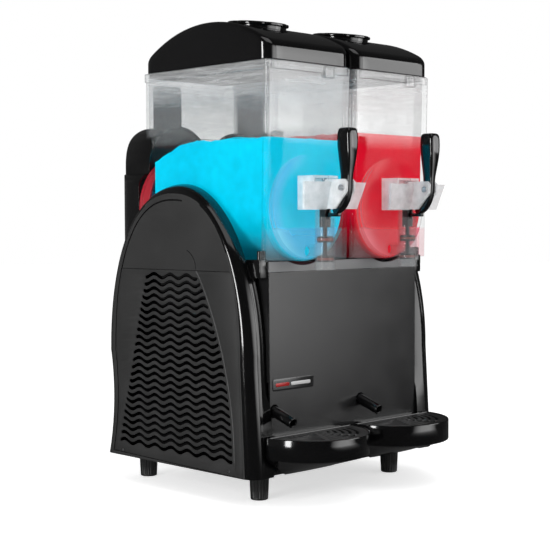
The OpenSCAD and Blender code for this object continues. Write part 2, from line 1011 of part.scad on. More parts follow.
module lid() {
    difference() {
        union() {
            intersection() {
                along_x(-lid_half_w - 5, lid_half_w + 5)
                    lid_section(0);
                translate([0, 0, rim_z])
                    linear_extrude(100)
                        rounded_plan(-lid_half_w, lid_half_w, lid_front_y, lid_back_y, lid_corner_r);
            }
            translate([0, 0, rim_z - 8])
                linear_extrude(8 + lid_t)
                    rounded_plan(-90.4, 90.4, -147.4, 152.4, 1);
            cap_frame()
                cylinder_z(-9, 1.4, cap_neck_r + 5);
        }
        intersection() {
            along_x(-lid_half_w - 5, lid_half_w + 5)
                lid_section(lid_t);
            translate([0, 0, rim_z + lid_t])
                linear_extrude(100)
                    rounded_plan(-lid_half_w + lid_t, lid_half_w - lid_t,
                        lid_front_y + lid_t, lid_back_y - lid_t, lid_corner_r - lid_t);
        }
        translate([0, 0, rim_z - 9])
            linear_extrude(10 + lid_t)
                rounded_plan(-87, 87, -144, 149, 1);
        cap_frame()
            cylinder_z(-20, 10, cap_neck_r);
    }
}

// Local frame of the filler opening, standing square to the lid's curve
module cap_frame() {
    translate([0, cap_y, cap_seat_z])
        rotate([cap_tilt, 0, 0])
            children();
}

module filler_cap() {
    cap_frame()
        difference() {
            union() {
                cylinder_z(1.8, cap_h, cap_r);
                cylinder_z(-9, 1.8, cap_neck_r - 0.3);
            }
            cylinder_z(-10, 3.6, cap_neck_r - 3);
            for (a = [0 : 60 : 300])
                rotate(a)
                    translate([cap_r + 6, 0, 0])
                        cylinder_z(1, cap_h + 1, 8);
        }
}

// ---------- drip trays ----------

// D-shaped plan: round front with a straight back just ahead of the cheeks
module tray_slice(z0, z1, inset) {
    translate([0, 0, z0])
        linear_extrude(z1 - z0)
            intersection() {
                translate([0, tray_arc_y])
                    circle(tray_r - inset);
                translate([-150, -300])
                    square([300, 300 + tray_arc_y - inset]);
            }
}

// Underside that tapers down towards the front panel
keel_half_w = 60;

module tray_keel() {
    hull() {
        tray_slice(tray_wall_z, tray_wall_z + 1, 1);
        box([-keel_half_w, tray_arc_y - 2, foot_h + 2], [keel_half_w, tray_arc_y, foot_h + 4]);
    }
}

// Hollow ledge behind the dish that fills the space between the cheeks
module tray_ledge() {
    y0 = tray_arc_y + 0.3;
    y1 = panel_y - 0.2;
    w = tray_neck_half_w;
    difference() {
        union() {
            box([-w, y0, tray_wall_z], [w, y1, tray_top_z]);
            box([-keel_half_w, y0, foot_h + 2], [keel_half_w, y1, tray_wall_z + 1]);
        }
        box([-keel_half_w + tray_t, y0 + tray_t, foot_h + 1],
            [keel_half_w - tray_t, y1 - tray_t, tray_top_z - tray_t]);
    }
}

module drip_tray() {
    difference() {
        union() {
            tray_slice(tray_wall_z, tray_top_z, 0);
            tray_keel();
        }
        tray_slice(tray_wall_z + tray_t, tray_top_z + 1, tray_t);
    }
    tray_ledge();
}

grille_z = 106;

module drip_grille() {
    difference() {
        union() {
            tray_slice(grille_z, tray_top_z - 1, tray_t + grille_gap);
            for (a = [-60 : 60 : 60])
                translate([0, tray_arc_y - 8, 0])
                    rotate(a)
                        translate([0, -66, 0])
                            cylinder_z(tray_wall_z + tray_t, grille_z + 1, 4);
        }
        for (i = [1 : 5])
            translate([0, tray_arc_y - 12, 0])
                difference() {
                    ring(grille_z - 1, tray_top_z + 1, 12 * i - 3, 12 * i + 2);
                    for (a = [0, 60, 120])
                        rotate(a)
                            box([-3, -80, grille_z - 2], [3, 80, tray_top_z + 2]);
                    box([-80, 22, grille_z - 2], [80, 90, tray_top_z + 2]);
                }
    }
}

// ---------- colours of the paired parts ----------

module gear_motor_left() { color("#4a4e52") bay(-1) gear_motor(); }
module gear_motor_right() { color("#4a4e52") bay(1) gear_motor(); }
module evaporator_left() { color("#c8ccd0") bay(-1) evaporator(); }
module evaporator_right() { color("#c8ccd0") bay(1) evaporator(); }
module drive_shaft_left() { color("#d0d2d4") bay(-1) drive_shaft(); }
module drive_shaft_right() { color("#d0d2d4") bay(1) drive_shaft(); }
module auger_left() { color("#ececea") bay(-1) auger(); }
module auger_right() { color("#ececea") bay(1) auger(); }
module bowl_left() { color([0.85, 0.9, 0.92, 0.4]) bay(-1) bowl(); }
module bowl_right() { color([0.85, 0.9, 0.92, 0.4]) bay(1) bowl(); }
module slush_left() { color("#05c3ea") bay(-1) slush(602, 567); }
module slush_right() { color("#c8102e") bay(1) slush(618, 585); }
module tap_bracket_left() { color([0.9, 0.93, 0.95, 0.6]) bay(-1) tap_bracket(); }
module tap_bracket_right() { color([0.9, 0.93, 0.95, 0.6]) bay(1) tap_bracket(); }
module tap_pin_left() { color("#c8cacc") bay(-1) tap_pin(); }
module tap_pin_right() { color("#c8cacc") bay(1) tap_pin(); }
module tap_handle_left() { color("#151515") bay(-1) tap_handle(); }
module tap_handle_right() { color("#151515") bay(1) tap_handle(); }
module tap_piston_left() { color("#202020") bay(-1) tap_piston(); }
module tap_piston_right() { color("#202020") bay(1) tap_piston(); }
module piston_seals_left() { color("#8c3a2c") bay(-1) piston_seals(); }
module piston_seals_right() { color("#8c3a2c") bay(1) piston_seals(); }
module tap_spring_left() { color("#c0c4c8") bay(-1) tap_spring(); }
module tap_spring_right() { color("#c0c4c8") bay(1) tap_spring(); }
module lid_left() { color("#181818") bay(-1) lid(); }
module lid_right() { color("#181818") bay(1) lid(); }
module filler_cap_left() { color("#1c1c1c") bay(-1) filler_cap(); }
module filler_cap_right() { color("#1c1c1c") bay(1) filler_cap(); }
module drip_tray_left() { color("#1a1a1a") bay(-1) drip_tray(); }
module drip_tray_right() { color("#1a1a1a") bay(1) drip_tray(); }
module drip_grille_left() { color("#121212") bay(-1) drip_grille(); }
module drip_grille_right() { color("#121212") bay(1) drip_grille(); }

base_pan();
feet();
front_panel();
rear_panel();
left_cheek();
left_louvre_panel();
right_cheek();
right_louvre_panel();
top_deck();
rear_bulkhead();
motor_cover();
compressor();
condenser();
fan_shroud();
fan_motor();
fan_blade();
refrigerant_lines();
control_box();
power_inlet();
main_switch();
mode_switch_left();
mode_switch_right();
gear_motor_left();
gear_motor_right();
evaporator_left();
evaporator_right();
shaft_seals();
barrel_gaskets();
drain_tubes();
name_plate();
panel_screws();
drive_shaft_left();
drive_shaft_right();
auger_left();
auger_right();
bowl_left();
bowl_right();
slush_left();
slush_right();
tap_bracket_left();
tap_bracket_right();
tap_pin_left();
tap_pin_right();
tap_handle_left();
tap_handle_right();
tap_piston_left();
tap_piston_right();
piston_seals_left();
piston_seals_right();
tap_spring_left();
tap_spring_right();
lid_left();
lid_right();
filler_cap_left();
filler_cap_right();
drip_tray_left();
drip_tray_right();
drip_grille_left();
drip_grille_right();
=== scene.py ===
"""Two-bowl slush machine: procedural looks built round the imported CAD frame. Lengths in mm."""

import json
import math

import bmesh
import bpy
from mathutils import Matrix, Vector, noise


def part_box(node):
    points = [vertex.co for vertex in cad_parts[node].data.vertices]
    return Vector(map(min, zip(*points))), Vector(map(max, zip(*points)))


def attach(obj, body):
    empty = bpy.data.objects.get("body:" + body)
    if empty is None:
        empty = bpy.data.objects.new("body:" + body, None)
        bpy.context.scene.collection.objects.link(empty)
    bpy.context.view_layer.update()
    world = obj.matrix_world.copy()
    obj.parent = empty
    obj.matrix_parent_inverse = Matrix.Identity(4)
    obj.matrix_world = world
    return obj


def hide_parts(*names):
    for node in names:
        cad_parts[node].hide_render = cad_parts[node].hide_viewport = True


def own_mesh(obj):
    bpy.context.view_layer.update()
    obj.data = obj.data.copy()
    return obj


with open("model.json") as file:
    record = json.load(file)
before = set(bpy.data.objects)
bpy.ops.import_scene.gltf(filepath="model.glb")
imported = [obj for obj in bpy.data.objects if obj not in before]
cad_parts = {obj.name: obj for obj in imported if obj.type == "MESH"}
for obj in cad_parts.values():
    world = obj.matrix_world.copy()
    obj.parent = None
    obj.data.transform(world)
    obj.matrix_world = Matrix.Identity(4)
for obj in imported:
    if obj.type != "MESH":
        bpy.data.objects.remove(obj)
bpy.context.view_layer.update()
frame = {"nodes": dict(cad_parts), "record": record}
scene = bpy.context.scene
MM = 0.001
SIDES = ("left", "right")
pi, sin, cos, radians = math.pi, math.sin, math.cos, math.radians


def box_mm(node):
    """Lowest and highest corner of a CAD node in millimetres."""
    lo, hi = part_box(node)
    return Vector(lo) / MM, Vector(hi) / MM


def mix(a, b, t):
    return a + (b - a) * t


def smooth_step(a, b, v):
    t = min(1.0, max(0.0, (v - a) / (b - a)))
    return t * t * (3 - 2 * t)


# ---------- materials ----------


def new_material(name):
    mat = bpy.data.materials.new(name)
    mat.use_nodes = True
    tree = mat.node_tree
    return mat, tree, tree.nodes["Principled BSDF"]


def add(tree, kind, links=(), **values):
    """Adds a node, sets its properties and inputs by name, and links (input, source socket) pairs."""
    node = tree.nodes.new(kind)
    for key, value in values.items():
        if hasattr(node, key):
            setattr(node, key, value)
        else:
            node.inputs[key.replace("_", " ")].default_value = value
    for name, source in links:
        tree.links.new(source, node.inputs[name])
    return node


def noise_node(tree, scale, detail=4.0, stretch=(1, 1, 1)):
    place = add(tree, "ShaderNodeTexCoord")
    mapping = add(tree, "ShaderNodeMapping", [("Vector", place.outputs["Object"])])
    mapping.inputs["Scale"].default_value = stretch
    return add(tree, "ShaderNodeTexNoise", [("Vector", mapping.outputs["Vector"])],
               Scale=scale, Detail=detail)


def calc(tree, operation, a, b=None):
    """Math node on two sockets or numbers."""
    node = add(tree, "ShaderNodeMath", operation=operation)
    for slot, value in enumerate((a, b)):
        if isinstance(value, (int, float)):
            node.inputs[slot].default_value = value
        elif value is not None:
            tree.links.new(value, node.inputs[slot])
    return node.outputs[0]


def remap(tree, source, lo, hi, from_lo=0.3, from_hi=0.7):
    node = add(tree, "ShaderNodeMapRange", [("Value", source)])
    for key, value in zip(("From Min", "From Max", "To Min", "To Max"), (from_lo, from_hi, lo, hi)):
        node.inputs[key].default_value = value
    return node.outputs["Result"]


def tone(tree, source, colour, spread):
    """Colour that wanders a little between a darker and a lighter tone of itself."""
    ramp = add(tree, "ShaderNodeValToRGB", [("Fac", source)])
    ends = ramp.color_ramp.elements
    ends[0].position, ends[1].position = 0.3, 0.7
    ends[0].color = [c * (1 - spread) for c in colour] + [1]
    ends[1].color = [min(1.0, c * (1 + spread)) for c in colour] + [1]
    return ramp.outputs["Color"]


def grained(name, colour, rough, grain=900.0, bump=0.05, spread=0.12, rough_spread=0.05,
            metallic=0.0, edge=0.8, stretch=(1, 1, 1), specular=0.5, coat=0.0):
    """Moulded plastic, rubber or metal: fine surface grain, broad tone changes, softened edges."""
    mat, tree, shader = new_material(name)
    fine = noise_node(tree, grain, 3, stretch).outputs["Fac"]
    broad = noise_node(tree, 14, 3, stretch).outputs["Fac"]
    link = tree.links.new
    link(tone(tree, broad, colour, spread), shader.inputs["Base Color"])
    link(remap(tree, calc(tree, "ADD", fine, broad), rough - rough_spread, rough + rough_spread,
               0.7, 1.3), shader.inputs["Roughness"])
    rounded = add(tree, "ShaderNodeBevel", samples=4, Radius=edge * MM)
    bumped = add(tree, "ShaderNodeBump", [("Height", fine), ("Normal", rounded.outputs["Normal"])],
                 Strength=bump, Distance=0.0004)
    link(bumped.outputs["Normal"], shader.inputs["Normal"])
    shader.inputs["Metallic"].default_value = metallic
    shader.inputs["Specular IOR Level"].default_value = specular
    shader.inputs["Coat Weight"].default_value = coat
    shader.inputs["Coat Roughness"].default_value = 0.06
    return mat


def ramp_values(tree, source, stops):
    """Piecewise-linear value of a 0 to 1 socket."""
    ramp = add(tree, "ShaderNodeValToRGB", [("Fac", source)])
    points = ramp.color_ramp.elements
    while len(points) < len(stops):
        points.new(0.5)
    for point, (at, value) in zip(points, stops):
        point.position = at
        point.color = (value, value, value, 1)
    return ramp.outputs["Color"]


def product(tree, *factors):
    total = factors[0]
    for factor in factors[1:]:
        total = calc(tree, "MULTIPLY", total, factor)
    return total


def bowl_haze_and_painted_sheen(tree, tint, haze_colour):
    """Haze of a bowl wall by height, thicker on the front as a painted sheen tinted with the drink
    colour (strongest low down, weaker outside the round boss, with a painted crescent highlight on the
    boss's left part), and the spout marked.

    Returns the haze amount, the see-through and haze colours and the mirror strength.
    """
    spot = add(tree, "ShaderNodeTexCoord").outputs["Object"]
    x, y, z = add(tree, "ShaderNodeSeparateXYZ", [("Vector", spot)]).outputs
    height = remap(tree, z, 0, 1, LEVEL_LO, LEVEL_HI)
    normal = add(tree, "ShaderNodeNewGeometry").outputs["Normal"]
    ahead = add(tree, "ShaderNodeSeparateXYZ", [("Vector", normal)]).outputs["Y"]
    ahead = remap(tree, ahead, 1, 0, -0.98, -0.85)

    across = product(tree, calc(tree, "SUBTRACT", calc(tree, "ABSOLUTE", x), BOSS_X),
                     calc(tree, "SIGN", x))
    above = calc(tree, "SUBTRACT", z, BOSS_Z)
    reach = calc(tree, "SQRT", calc(tree, "ADD", product(tree, across, across),
                                    product(tree, above, above)))
    boss = remap(tree, reach, 1, 0, BOSS_R - 0.001, BOSS_R + 0.001)
    # Painted crescent highlight on the left part of the round boss, brightest towards its edge.
    painted_crescent_highlight = product(tree, remap(tree, reach, 0, 0.22, BOSS_R * 0.72, BOSS_R),
                       remap(tree, across, 1, 0, -0.055, 0.0), boss, ahead)
    # Painted sheen on the front: a whitish layer over the slush, strongest low down and weaker outside
    # the boss.
    front = product(tree, ahead, ramp_values(tree, height, FRONT_HAZE_AND_PAINTED_SHEEN),
                    remap(tree, boss, 0.25, 1.0, 0, 1))
    front = product(tree, calc(tree, "ADD", front, painted_crescent_highlight),
                    remap(tree, y, 0, 1, SPOUT_BACK, SPOUT_BACK + 0.005))

    streaks = remap(tree, noise_node(tree, 22, 3, (1, 1, 16)).outputs["Fac"], 0.6, 1.35)
    wall = product(tree, streaks, ramp_values(tree, height, WALL_HAZE))
    spout = remap(tree, y, 0.05, 0, SPOUT_BACK, SPOUT_BACK + 0.005)
    amount = calc(tree, "ADD", calc(tree, "ADD", wall, front), spout)

    drink = add(tree, "ShaderNodeMix", [(0, remap(tree, x, 0, 1, -0.001, 0.001))],
                data_type="RGBA")
    drink.inputs[6].default_value = (0.12, 0.82, 0.97, 1)
    drink.inputs[7].default_value = (0.95, 0.10, 0.20, 1)
    tinted = []
    for plain, most in ((tint, 0.9), (haze_colour, 0.5)):
        node = add(tree, "ShaderNodeMix",
                   [(0, remap(tree, front, 0, most, 0.02, 0.17)), (7, drink.outputs[2])],
                   data_type="RGBA")
        if isinstance(plain, tuple):
            node.inputs[6].default_value = (*plain, 1)
        else:
            tree.links.new(plain, node.inputs[6])
        tinted.append(node.outputs[2])
    return amount, *tinted, ramp_values(tree, height, MIRROR_SHARE)


def clear(name, tint, haze_colour, rough, haze=None, scratch=0.03):
    """Clear moulded plastic: see-through, mirror-like at a glance, hazy evenly or as a bowl is, with
    the bowl's painted front sheen.
    """
    mat, tree, shader = new_material(name)
    tree.nodes.remove(shader)
    link = tree.links.new
    fine = noise_node(tree, 60, 5).outputs["Fac"]
    bumped = add(tree, "ShaderNodeBump", [("Height", fine)], Strength=scratch, Distance=0.0008)
    through = add(tree, "ShaderNodeBsdfTransparent")
    milky = add(tree, "ShaderNodeBsdfDiffuse", Color=(*haze_colour, 1))
    mirror = add(tree, "ShaderNodeBsdfGlossy", [("Normal", bumped.outputs["Normal"])],
                 Roughness=rough)
    facing = add(tree, "ShaderNodeLayerWeight", [("Normal", bumped.outputs["Normal"])], Blend=0.5)
    steep = calc(tree, "POWER", facing.outputs["Facing"], 4.5)
    glance = remap(tree, steep, 0.045, 0.85, 0, 1)
    tint_out = tone(tree, fine, tint, 0.02)
    if haze is None:
        amount, tint_out, haze_out, share = bowl_haze_and_painted_sheen(tree, tint_out, haze_colour)
        link(haze_out, milky.inputs["Color"])
        glance = product(tree, glance, share)
    else:
        amount = remap(tree, fine, haze * 0.8, haze * 1.2)
    link(tint_out, through.inputs["Color"])
    hazed = add(tree, "ShaderNodeMixShader", [(0, amount)])
    link(through.outputs[0], hazed.inputs[1])
    link(milky.outputs[0], hazed.inputs[2])
    total = add(tree, "ShaderNodeMixShader", [(0, glance)])
    link(hazed.outputs[0], total.inputs[1])
    link(mirror.outputs[0], total.inputs[2])
    link(total.outputs[0], tree.nodes["Material Output"].inputs["Surface"])
    return mat


def ice(name, colour, deep):
    """Slush: granular ice, brighter where crystals catch light, with a painted glow in its own colour
    that is dimmed as painted shade on faces turned down.
    """
    mat, tree, shader = new_material(name)
    link = tree.links.new
    crystals = noise_node(tree, 420, 6).outputs["Fac"]
    drift = noise_node(tree, 9, 3).outputs["Fac"]
    ramp = add(tree, "ShaderNodeValToRGB", [("Fac", drift)])
    ramp.color_ramp.elements[0].position = 0.3
    ramp.color_ramp.elements[1].position = 0.62
    ramp.color_ramp.elements[0].color = (*deep, 1)
    ramp.color_ramp.elements[1].color = (*colour, 1)
    link(ramp.outputs["Color"], shader.inputs["Base Color"])
    # Painted glow: the slush emits its own colour; faces turned down emit less, a painted shade.
    link(ramp.outputs["Color"], shader.inputs["Emission Color"])
    normal = add(tree, "ShaderNodeNewGeometry").outputs["Normal"]
    painted_shade_facing = add(tree, "ShaderNodeSeparateXYZ", [("Vector", normal)]).outputs["Z"]
    link(remap(tree, painted_shade_facing, 0.14, 1.0, -0.8, 0.0), shader.inputs["Emission Strength"])
    shader.inputs["Specular IOR Level"].default_value = 0.05
    shader.inputs["Subsurface Weight"].default_value = 0.25
    shader.inputs["Subsurface Radius"].default_value = (0.01, 0.01, 0.01)
    shader.inputs["Subsurface Scale"].default_value = 0.6
    link(remap(tree, crystals, 0.45, 0.65), shader.inputs["Roughness"])
    bumped = add(tree, "ShaderNodeBump", [("Height", crystals)], Strength=0.25, Distance=0.001)
    link(bumped.outputs["Normal"], shader.inputs["Normal"])
    return mat


# A bowl in metres: the span of the height stops, the boss on its front and the spout's rear side
LEVEL_LO, LEVEL_HI = 0.38, 0.73
BOSS_X, BOSS_Z, BOSS_R = 0.106, 0.489, 0.087
SPOUT_BACK = -0.176
# (share of the height, value) stops
WALL_HAZE = [(0.0, 0.02), (0.2, 0.0), (0.62, 0.0), (0.70, 0.035), (0.80, 0.05), (0.90, 0.22),
             (1.0, 0.20)]
# Front stops: mostly a painted sheen on the front of the slush, strongest below the boss's middle.
FRONT_HAZE_AND_PAINTED_SHEEN = [(0.0, 0.24), (0.20, 0.22), (0.215, 0.03), (0.60, 0.0), (0.68, 0.02), (1.0, 0.02)]
MIRROR_SHARE = [(0.0, 0.15), (0.6, 0.12), (0.70, 1.4), (1.0, 1.3)]
BLACK = (0.0022, 0.0022, 0.0024)
MATERIALS = {
    "black_gloss": grained("black_gloss", BLACK, 0.11, bump=0.004, rough_spread=0.02, coat=0.3),
    "black_satin": grained("black_satin", (0.012, 0.012, 0.0125), 0.42, grain=1400, bump=0.05),
    "panel_grey": grained("panel_grey", (0.010, 0.010, 0.0105), 0.22, bump=0.008, specular=0.8),
    "steel": grained("steel", (0.55, 0.56, 0.58), 0.28, metallic=1, stretch=(1, 1, 12)),
    "galvanised": grained("galvanised", (0.42, 0.43, 0.45), 0.42, grain=90, metallic=0.9,
                          spread=0.3),
    "foot_rubber": grained("foot_rubber", (0.012, 0.012, 0.012), 0.42, grain=700, bump=0.12),
    "compressor_black": grained("compressor_black", (0.02, 0.02, 0.022), 0.35, grain=260),
    "fins": grained("fins", (0.6, 0.61, 0.62), 0.35, metallic=1, stretch=(1, 6, 1)),
    "shroud_grey": grained("shroud_grey", (0.09, 0.09, 0.10), 0.5),
    "fan_white": grained("fan_white", (0.72, 0.72, 0.70), 0.4),
    "copper": grained("copper", (0.72, 0.33, 0.18), 0.3, metallic=1, spread=0.25),
    "motor_grey": grained("motor_grey", (0.13, 0.14, 0.15), 0.45),
    "gasket_red": grained("gasket_red", (0.36, 0.018, 0.03), 0.24, grain=300, bump=0.05),
    "seal_black": grained("seal_black", (0.012, 0.012, 0.012), 0.5),
    "seal_brown": grained("seal_brown", (0.22, 0.045, 0.03), 0.4, grain=400),
    "auger_white": grained("auger_white", (0.74, 0.75, 0.74), 0.35),
    "switch_red": grained("switch_red", (0.5, 0.015, 0.015), 0.22),
    "switch_black": grained("switch_black", (0.014, 0.014, 0.014), 0.25),
    "spring_steel": grained("spring_steel", (0.6, 0.6, 0.62), 0.2, metallic=1),
    "bowl_clear": clear("bowl_clear", (0.91, 0.915, 0.915), (0.9, 0.91, 0.92), 0.03),
    "tap_clear": clear("tap_clear", (0.93, 0.935, 0.935), (0.97, 0.98, 0.99), 0.08, 0.46, 0.5),
    "slush_blue": ice("slush_blue", (0.0, 0.42, 0.59), (0.0, 0.37, 0.54)),
    "slush_red": ice("slush_red", (0.50, 0.001, 0.014), (0.43, 0.001, 0.011)),
}
CHEEK_SIDE = grained("cheek_side", (0.026, 0.026, 0.026), 0.5, grain=1500, bump=0.06, edge=0.4)
# Painted highlight: the lighter grey of the thin strip along the crease, standing in for light caught
# on its edge.
CHEEK_PAINTED_HIGHLIGHT = grained("cheek_painted_highlight", (0.11, 0.11, 0.11), 0.3, grain=1500, bump=0.02, edge=0.4)
# Painted sheen: the black deck is coloured mid grey to stand in for the light it reflects along its
# lip.
DECK_PAINTED_SHEEN = grained("deck", (0.13, 0.13, 0.134), 0.32, bump=0.01, specular=0.8)
TUBE = grained("tube", BLACK, 0.16, bump=0.01, coat=0.3)
NODE_SLOT = {row["node"]: row["material_slot"] for row in frame["record"]["subparts"]}

for node_name, node_object in frame["nodes"].items():
    for place in node_object.material_slots:
        place.material = {"top_deck": DECK_PAINTED_SHEEN, "drain_tubes": TUBE}.get(
            node_name, MATERIALS[NODE_SLOT[node_name]])


# ---------- mesh helpers ----------


def link_object(ob):
    scene.collection.objects.link(ob)
    return ob


def soften(mesh, angle=32):
    """Smooth shading with sharp edges where faces meet at more than the angle."""
    for poly in mesh.polygons:
        poly.use_smooth = True
    mesh.set_sharp_from_angle(angle=radians(angle))


def as_object(name, bm, angle=32):
    bmesh.ops.remove_doubles(bm, verts=bm.verts, dist=2e-6)
    bmesh.ops.dissolve_degenerate(bm, edges=bm.edges, dist=1e-6)
    bmesh.ops.recalc_face_normals(bm, faces=bm.faces)
    mesh = bpy.data.meshes.new(name)
    bm.to_mesh(mesh)
    bm.free()
    soften(mesh, angle)
    return link_object(bpy.data.objects.new(name, mesh))


def piece(ob, body, node, mats=(), angle=32):
    """Makes an object stand for a CAD node, with that node's material slot."""
    slot = NODE_SLOT[node]
    ob.data.materials.clear()
    for mat in mats or (MATERIALS[slot],):
        ob.data.materials.append(mat)
    soften(ob.data, angle)
    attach(ob, body)
    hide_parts(node)
    return ob


def loft(rings, bm=None, caps=(True, True), mat=0):
    """Skins closed rings of equal point count. Points are in millimetres."""
    bm = bm or bmesh.new()
    grid = [[bm.verts.new(Vector(p) * MM) for p in ring] for ring in rings]
    n = len(rings[0])
    for a, b in zip(grid, grid[1:]):
        for i in range(n):
            j = (i + 1) % n
            bm.faces.new((a[i], a[j], b[j], b[i])).material_index = mat
    for wanted, ring in zip(caps, (grid[0], grid[-1])):
        if wanted:
            bm.faces.new(ring).material_index = mat
    return bm


def evaluated(ob):
    graph = bpy.context.evaluated_depsgraph_get()
    return bpy.data.meshes.new_from_object(ob.evaluated_get(graph), depsgraph=graph)


def boolean(ob, tool, operation="DIFFERENCE"):
    """Joins or cuts, and removes the tool."""
    mod = ob.modifiers.new("boolean", "BOOLEAN")
    mod.operation, mod.object, mod.solver = operation, tool, "EXACT"
    bpy.context.view_layer.update()
    mesh = evaluated(ob)
    ob.modifiers.clear()
    ob.data = mesh
    bpy.data.objects.remove(tool)
    return ob


def join_mesh(ob, other):
    """Adds another object's mesh to ob as it stands."""
    bm = bmesh.new()
    bm.from_mesh(ob.data)
    bm.from_mesh(other.data)
    bm.to_mesh(ob.data)
    bm.free()
    bpy.data.objects.remove(other)
    return ob


def round_box(lo, hi, r):
    """Block with rounded edges."""
    bm = bmesh.new()
    bmesh.ops.create_cube(bm, size=1)
    lo, hi = Vector(lo), Vector(hi)
    for v in bm.verts:
        v.co = Vector(mix(a, b, c + 0.5) for a, b, c in zip(lo, hi, v.co)) * MM
    if r:
        bmesh.ops.bevel(bm, geom=bm.edges[:], offset=r * MM, segments=3, profile=0.5,
                        affect="EDGES")
    return as_object("block", bm)


def revolve(profile, segments=64, wobble=None):
    """Turns (radius, z) pairs about local Z; a pair with radius 0 closes the end."""
    rings = []
    for r, z in profile:
        ring = []
        for i in range(segments):
            a = 2 * pi * i / segments
            reach = r + (wobble(a, r, z) if wobble else 0)
            ring.append((reach * cos(a), reach * sin(a), z))
        rings.append(ring)
    return rings


def moved(rings, matrix):
    return [[matrix @ Vector(p) for p in ring] for ring in rings]


def barrel(profile, matrix, name="barrel", segments=64, wobble=None):
    return as_object(name, loft(moved(revolve(profile, segments, wobble), matrix)))


ALONG_Y = Matrix.Rotation(radians(-90), 4, "X")


def disc_y(x, z, y0, y1, r, edge=0.0):
    """Round disc lying along Y, with rounded ends."""
    e = edge
    profile = [(0, y0), (r - e, y0), (r - e * 0.3, y0 + e * 0.3), (r, y0 + e),
               (r, y1 - e), (r - e * 0.3, y1 - e * 0.3), (r - e, y1), (0, y1)]
    return barrel(profile, Matrix.Translation((x, 0, z)) @ ALONG_Y, "disc", 96)


def plate(name, outline, holes, thick, bevel, matrix):
    """Flat plate with holes and bevelled rims, drawn in its own plane and then placed."""
    curve = bpy.data.curves.new(name, "CURVE")
    curve.dimensions, curve.fill_mode = "2D", "BOTH"
    curve.extrude = (thick / 2 - bevel) * MM
    curve.bevel_depth, curve.bevel_resolution, curve.offset = bevel * MM, 1, -bevel * MM
    for points in [outline] + holes:
        line = curve.splines.new("POLY")
        line.points.add(len(points) - 1)
        for slot, (u, v) in zip(line.points, points):
            slot.co = (u * MM, v * MM, 0, 1)
        line.use_cyclic_u = True
    drawn = link_object(bpy.data.objects.new(name, curve))
    bpy.context.view_layer.update()
    bm = bmesh.new()
    bm.from_mesh(evaluated(drawn))
    bpy.data.objects.remove(drawn)
    place = Matrix(matrix)
    place.translation = place.translation * MM
    bmesh.ops.transform(bm, matrix=place, verts=bm.verts)
    return as_object(name, bm)


def bevel_edges(ob, width):
    mod = ob.modifiers.new("round", "BEVEL")
    mod.width, mod.segments, mod.limit_method = width * MM, 3, "ANGLE"
    mod.angle_limit, mod.harden_normals = radians(35), True


# ---------- cheeks and louvre panels ----------
ARCH_Y_FROM_FRONT = 199.5
ARCH_Z = 235
SEAM_Z = 383
RIM_DEPTH = 27
ARCH_STEPS = 72
SLOT_ROWS, SLOT_TOP, SLOT_LOW, SLOT_H = 25, 372, 74, 6.2
cheek_lo = box_mm("left_cheek")[0]
arch_y = cheek_lo.y + ARCH_Y_FROM_FRONT
foot_z = cheek_lo.z
lip_z = 399


def cheek_outline(w, inset=0.0):
    """(Y, Z) outline: w 0 is the flat side face, w 1 the full depth of the rim."""
    a, b, n = 165 + 23 * w - inset, 275 + 20 * w - inset, 2.3 - 0.3 * w
    low = foot_z + max(inset, 0)
    front = arch_y - 174.7 - 24.8 * w + inset
    points = [(mix(front, arch_y - a, k / 10), mix(low, ARCH_Z, k / 10)) for k in range(10)]
    for k in range(ARCH_STEPS + 1):
        t = pi * (1 - k / ARCH_STEPS)
        y = math.copysign(abs(cos(t)) ** (2 / n), cos(t))
        points.append((arch_y + a * y, ARCH_Z + b * abs(sin(t)) ** (2 / n)))
    waist, back = arch_y + 159 + 20 * w - inset, arch_y + 173 + 20 * w - inset
    for k in range(1, 11):
        s = k / 10
        y = ((arch_y + a) * (s - 0.356) * (s - 1) / 0.356
             + waist * s * (s - 1) / (0.356 * -0.644) + back * s * (s - 0.356) / 0.644)
        points.append((y, mix(ARCH_Z, low, s)))
    return points


def side_outline(extra, top):
    """Outline of the louvre panel's seat: at the rim in front, a groove's width in at the back."""
    near, far = cheek_outline(0, extra), cheek_outline(0, 6 + extra)
    blend = [(mix(a[0], b[0], smooth_step(-20, 110, a[0])),
              mix(a[1], b[1], smooth_step(-20, 110, a[0]))) for a, b in zip(near, far)]
    points, n = [], len(blend)
    for i in range(n):
        p, q = blend[i], blend[(i + 1) % n]
        if p[1] <= top:
            points.append(p)
        if (p[1] <= top) != (q[1] <= top):
            s = (top - p[1]) / (q[1] - p[1])
            points.append((mix(p[0], q[0], s), top))
    return points


def prism_x(points, x0, x1):
    return as_object("prism", loft([[(x, y, z) for y, z in points] for x in (x0, x1)]))


def ribbon(points, w):
    """Closed band of width w along (Y, Z) points."""
    left, right = [], []
    for i, (y, z) in enumerate(points):
        p, q = points[max(i - 1, 0)], points[min(i + 1, len(points) - 1)]
        d = math.hypot(q[0] - p[0], q[1] - p[1])
        ny, nz = -(q[1] - p[1]) / d * w / 2, (q[0] - p[0]) / d * w / 2
        left.append((y + ny, z + nz))
        right.append((y - ny, z - nz))
    return left + right[::-1]


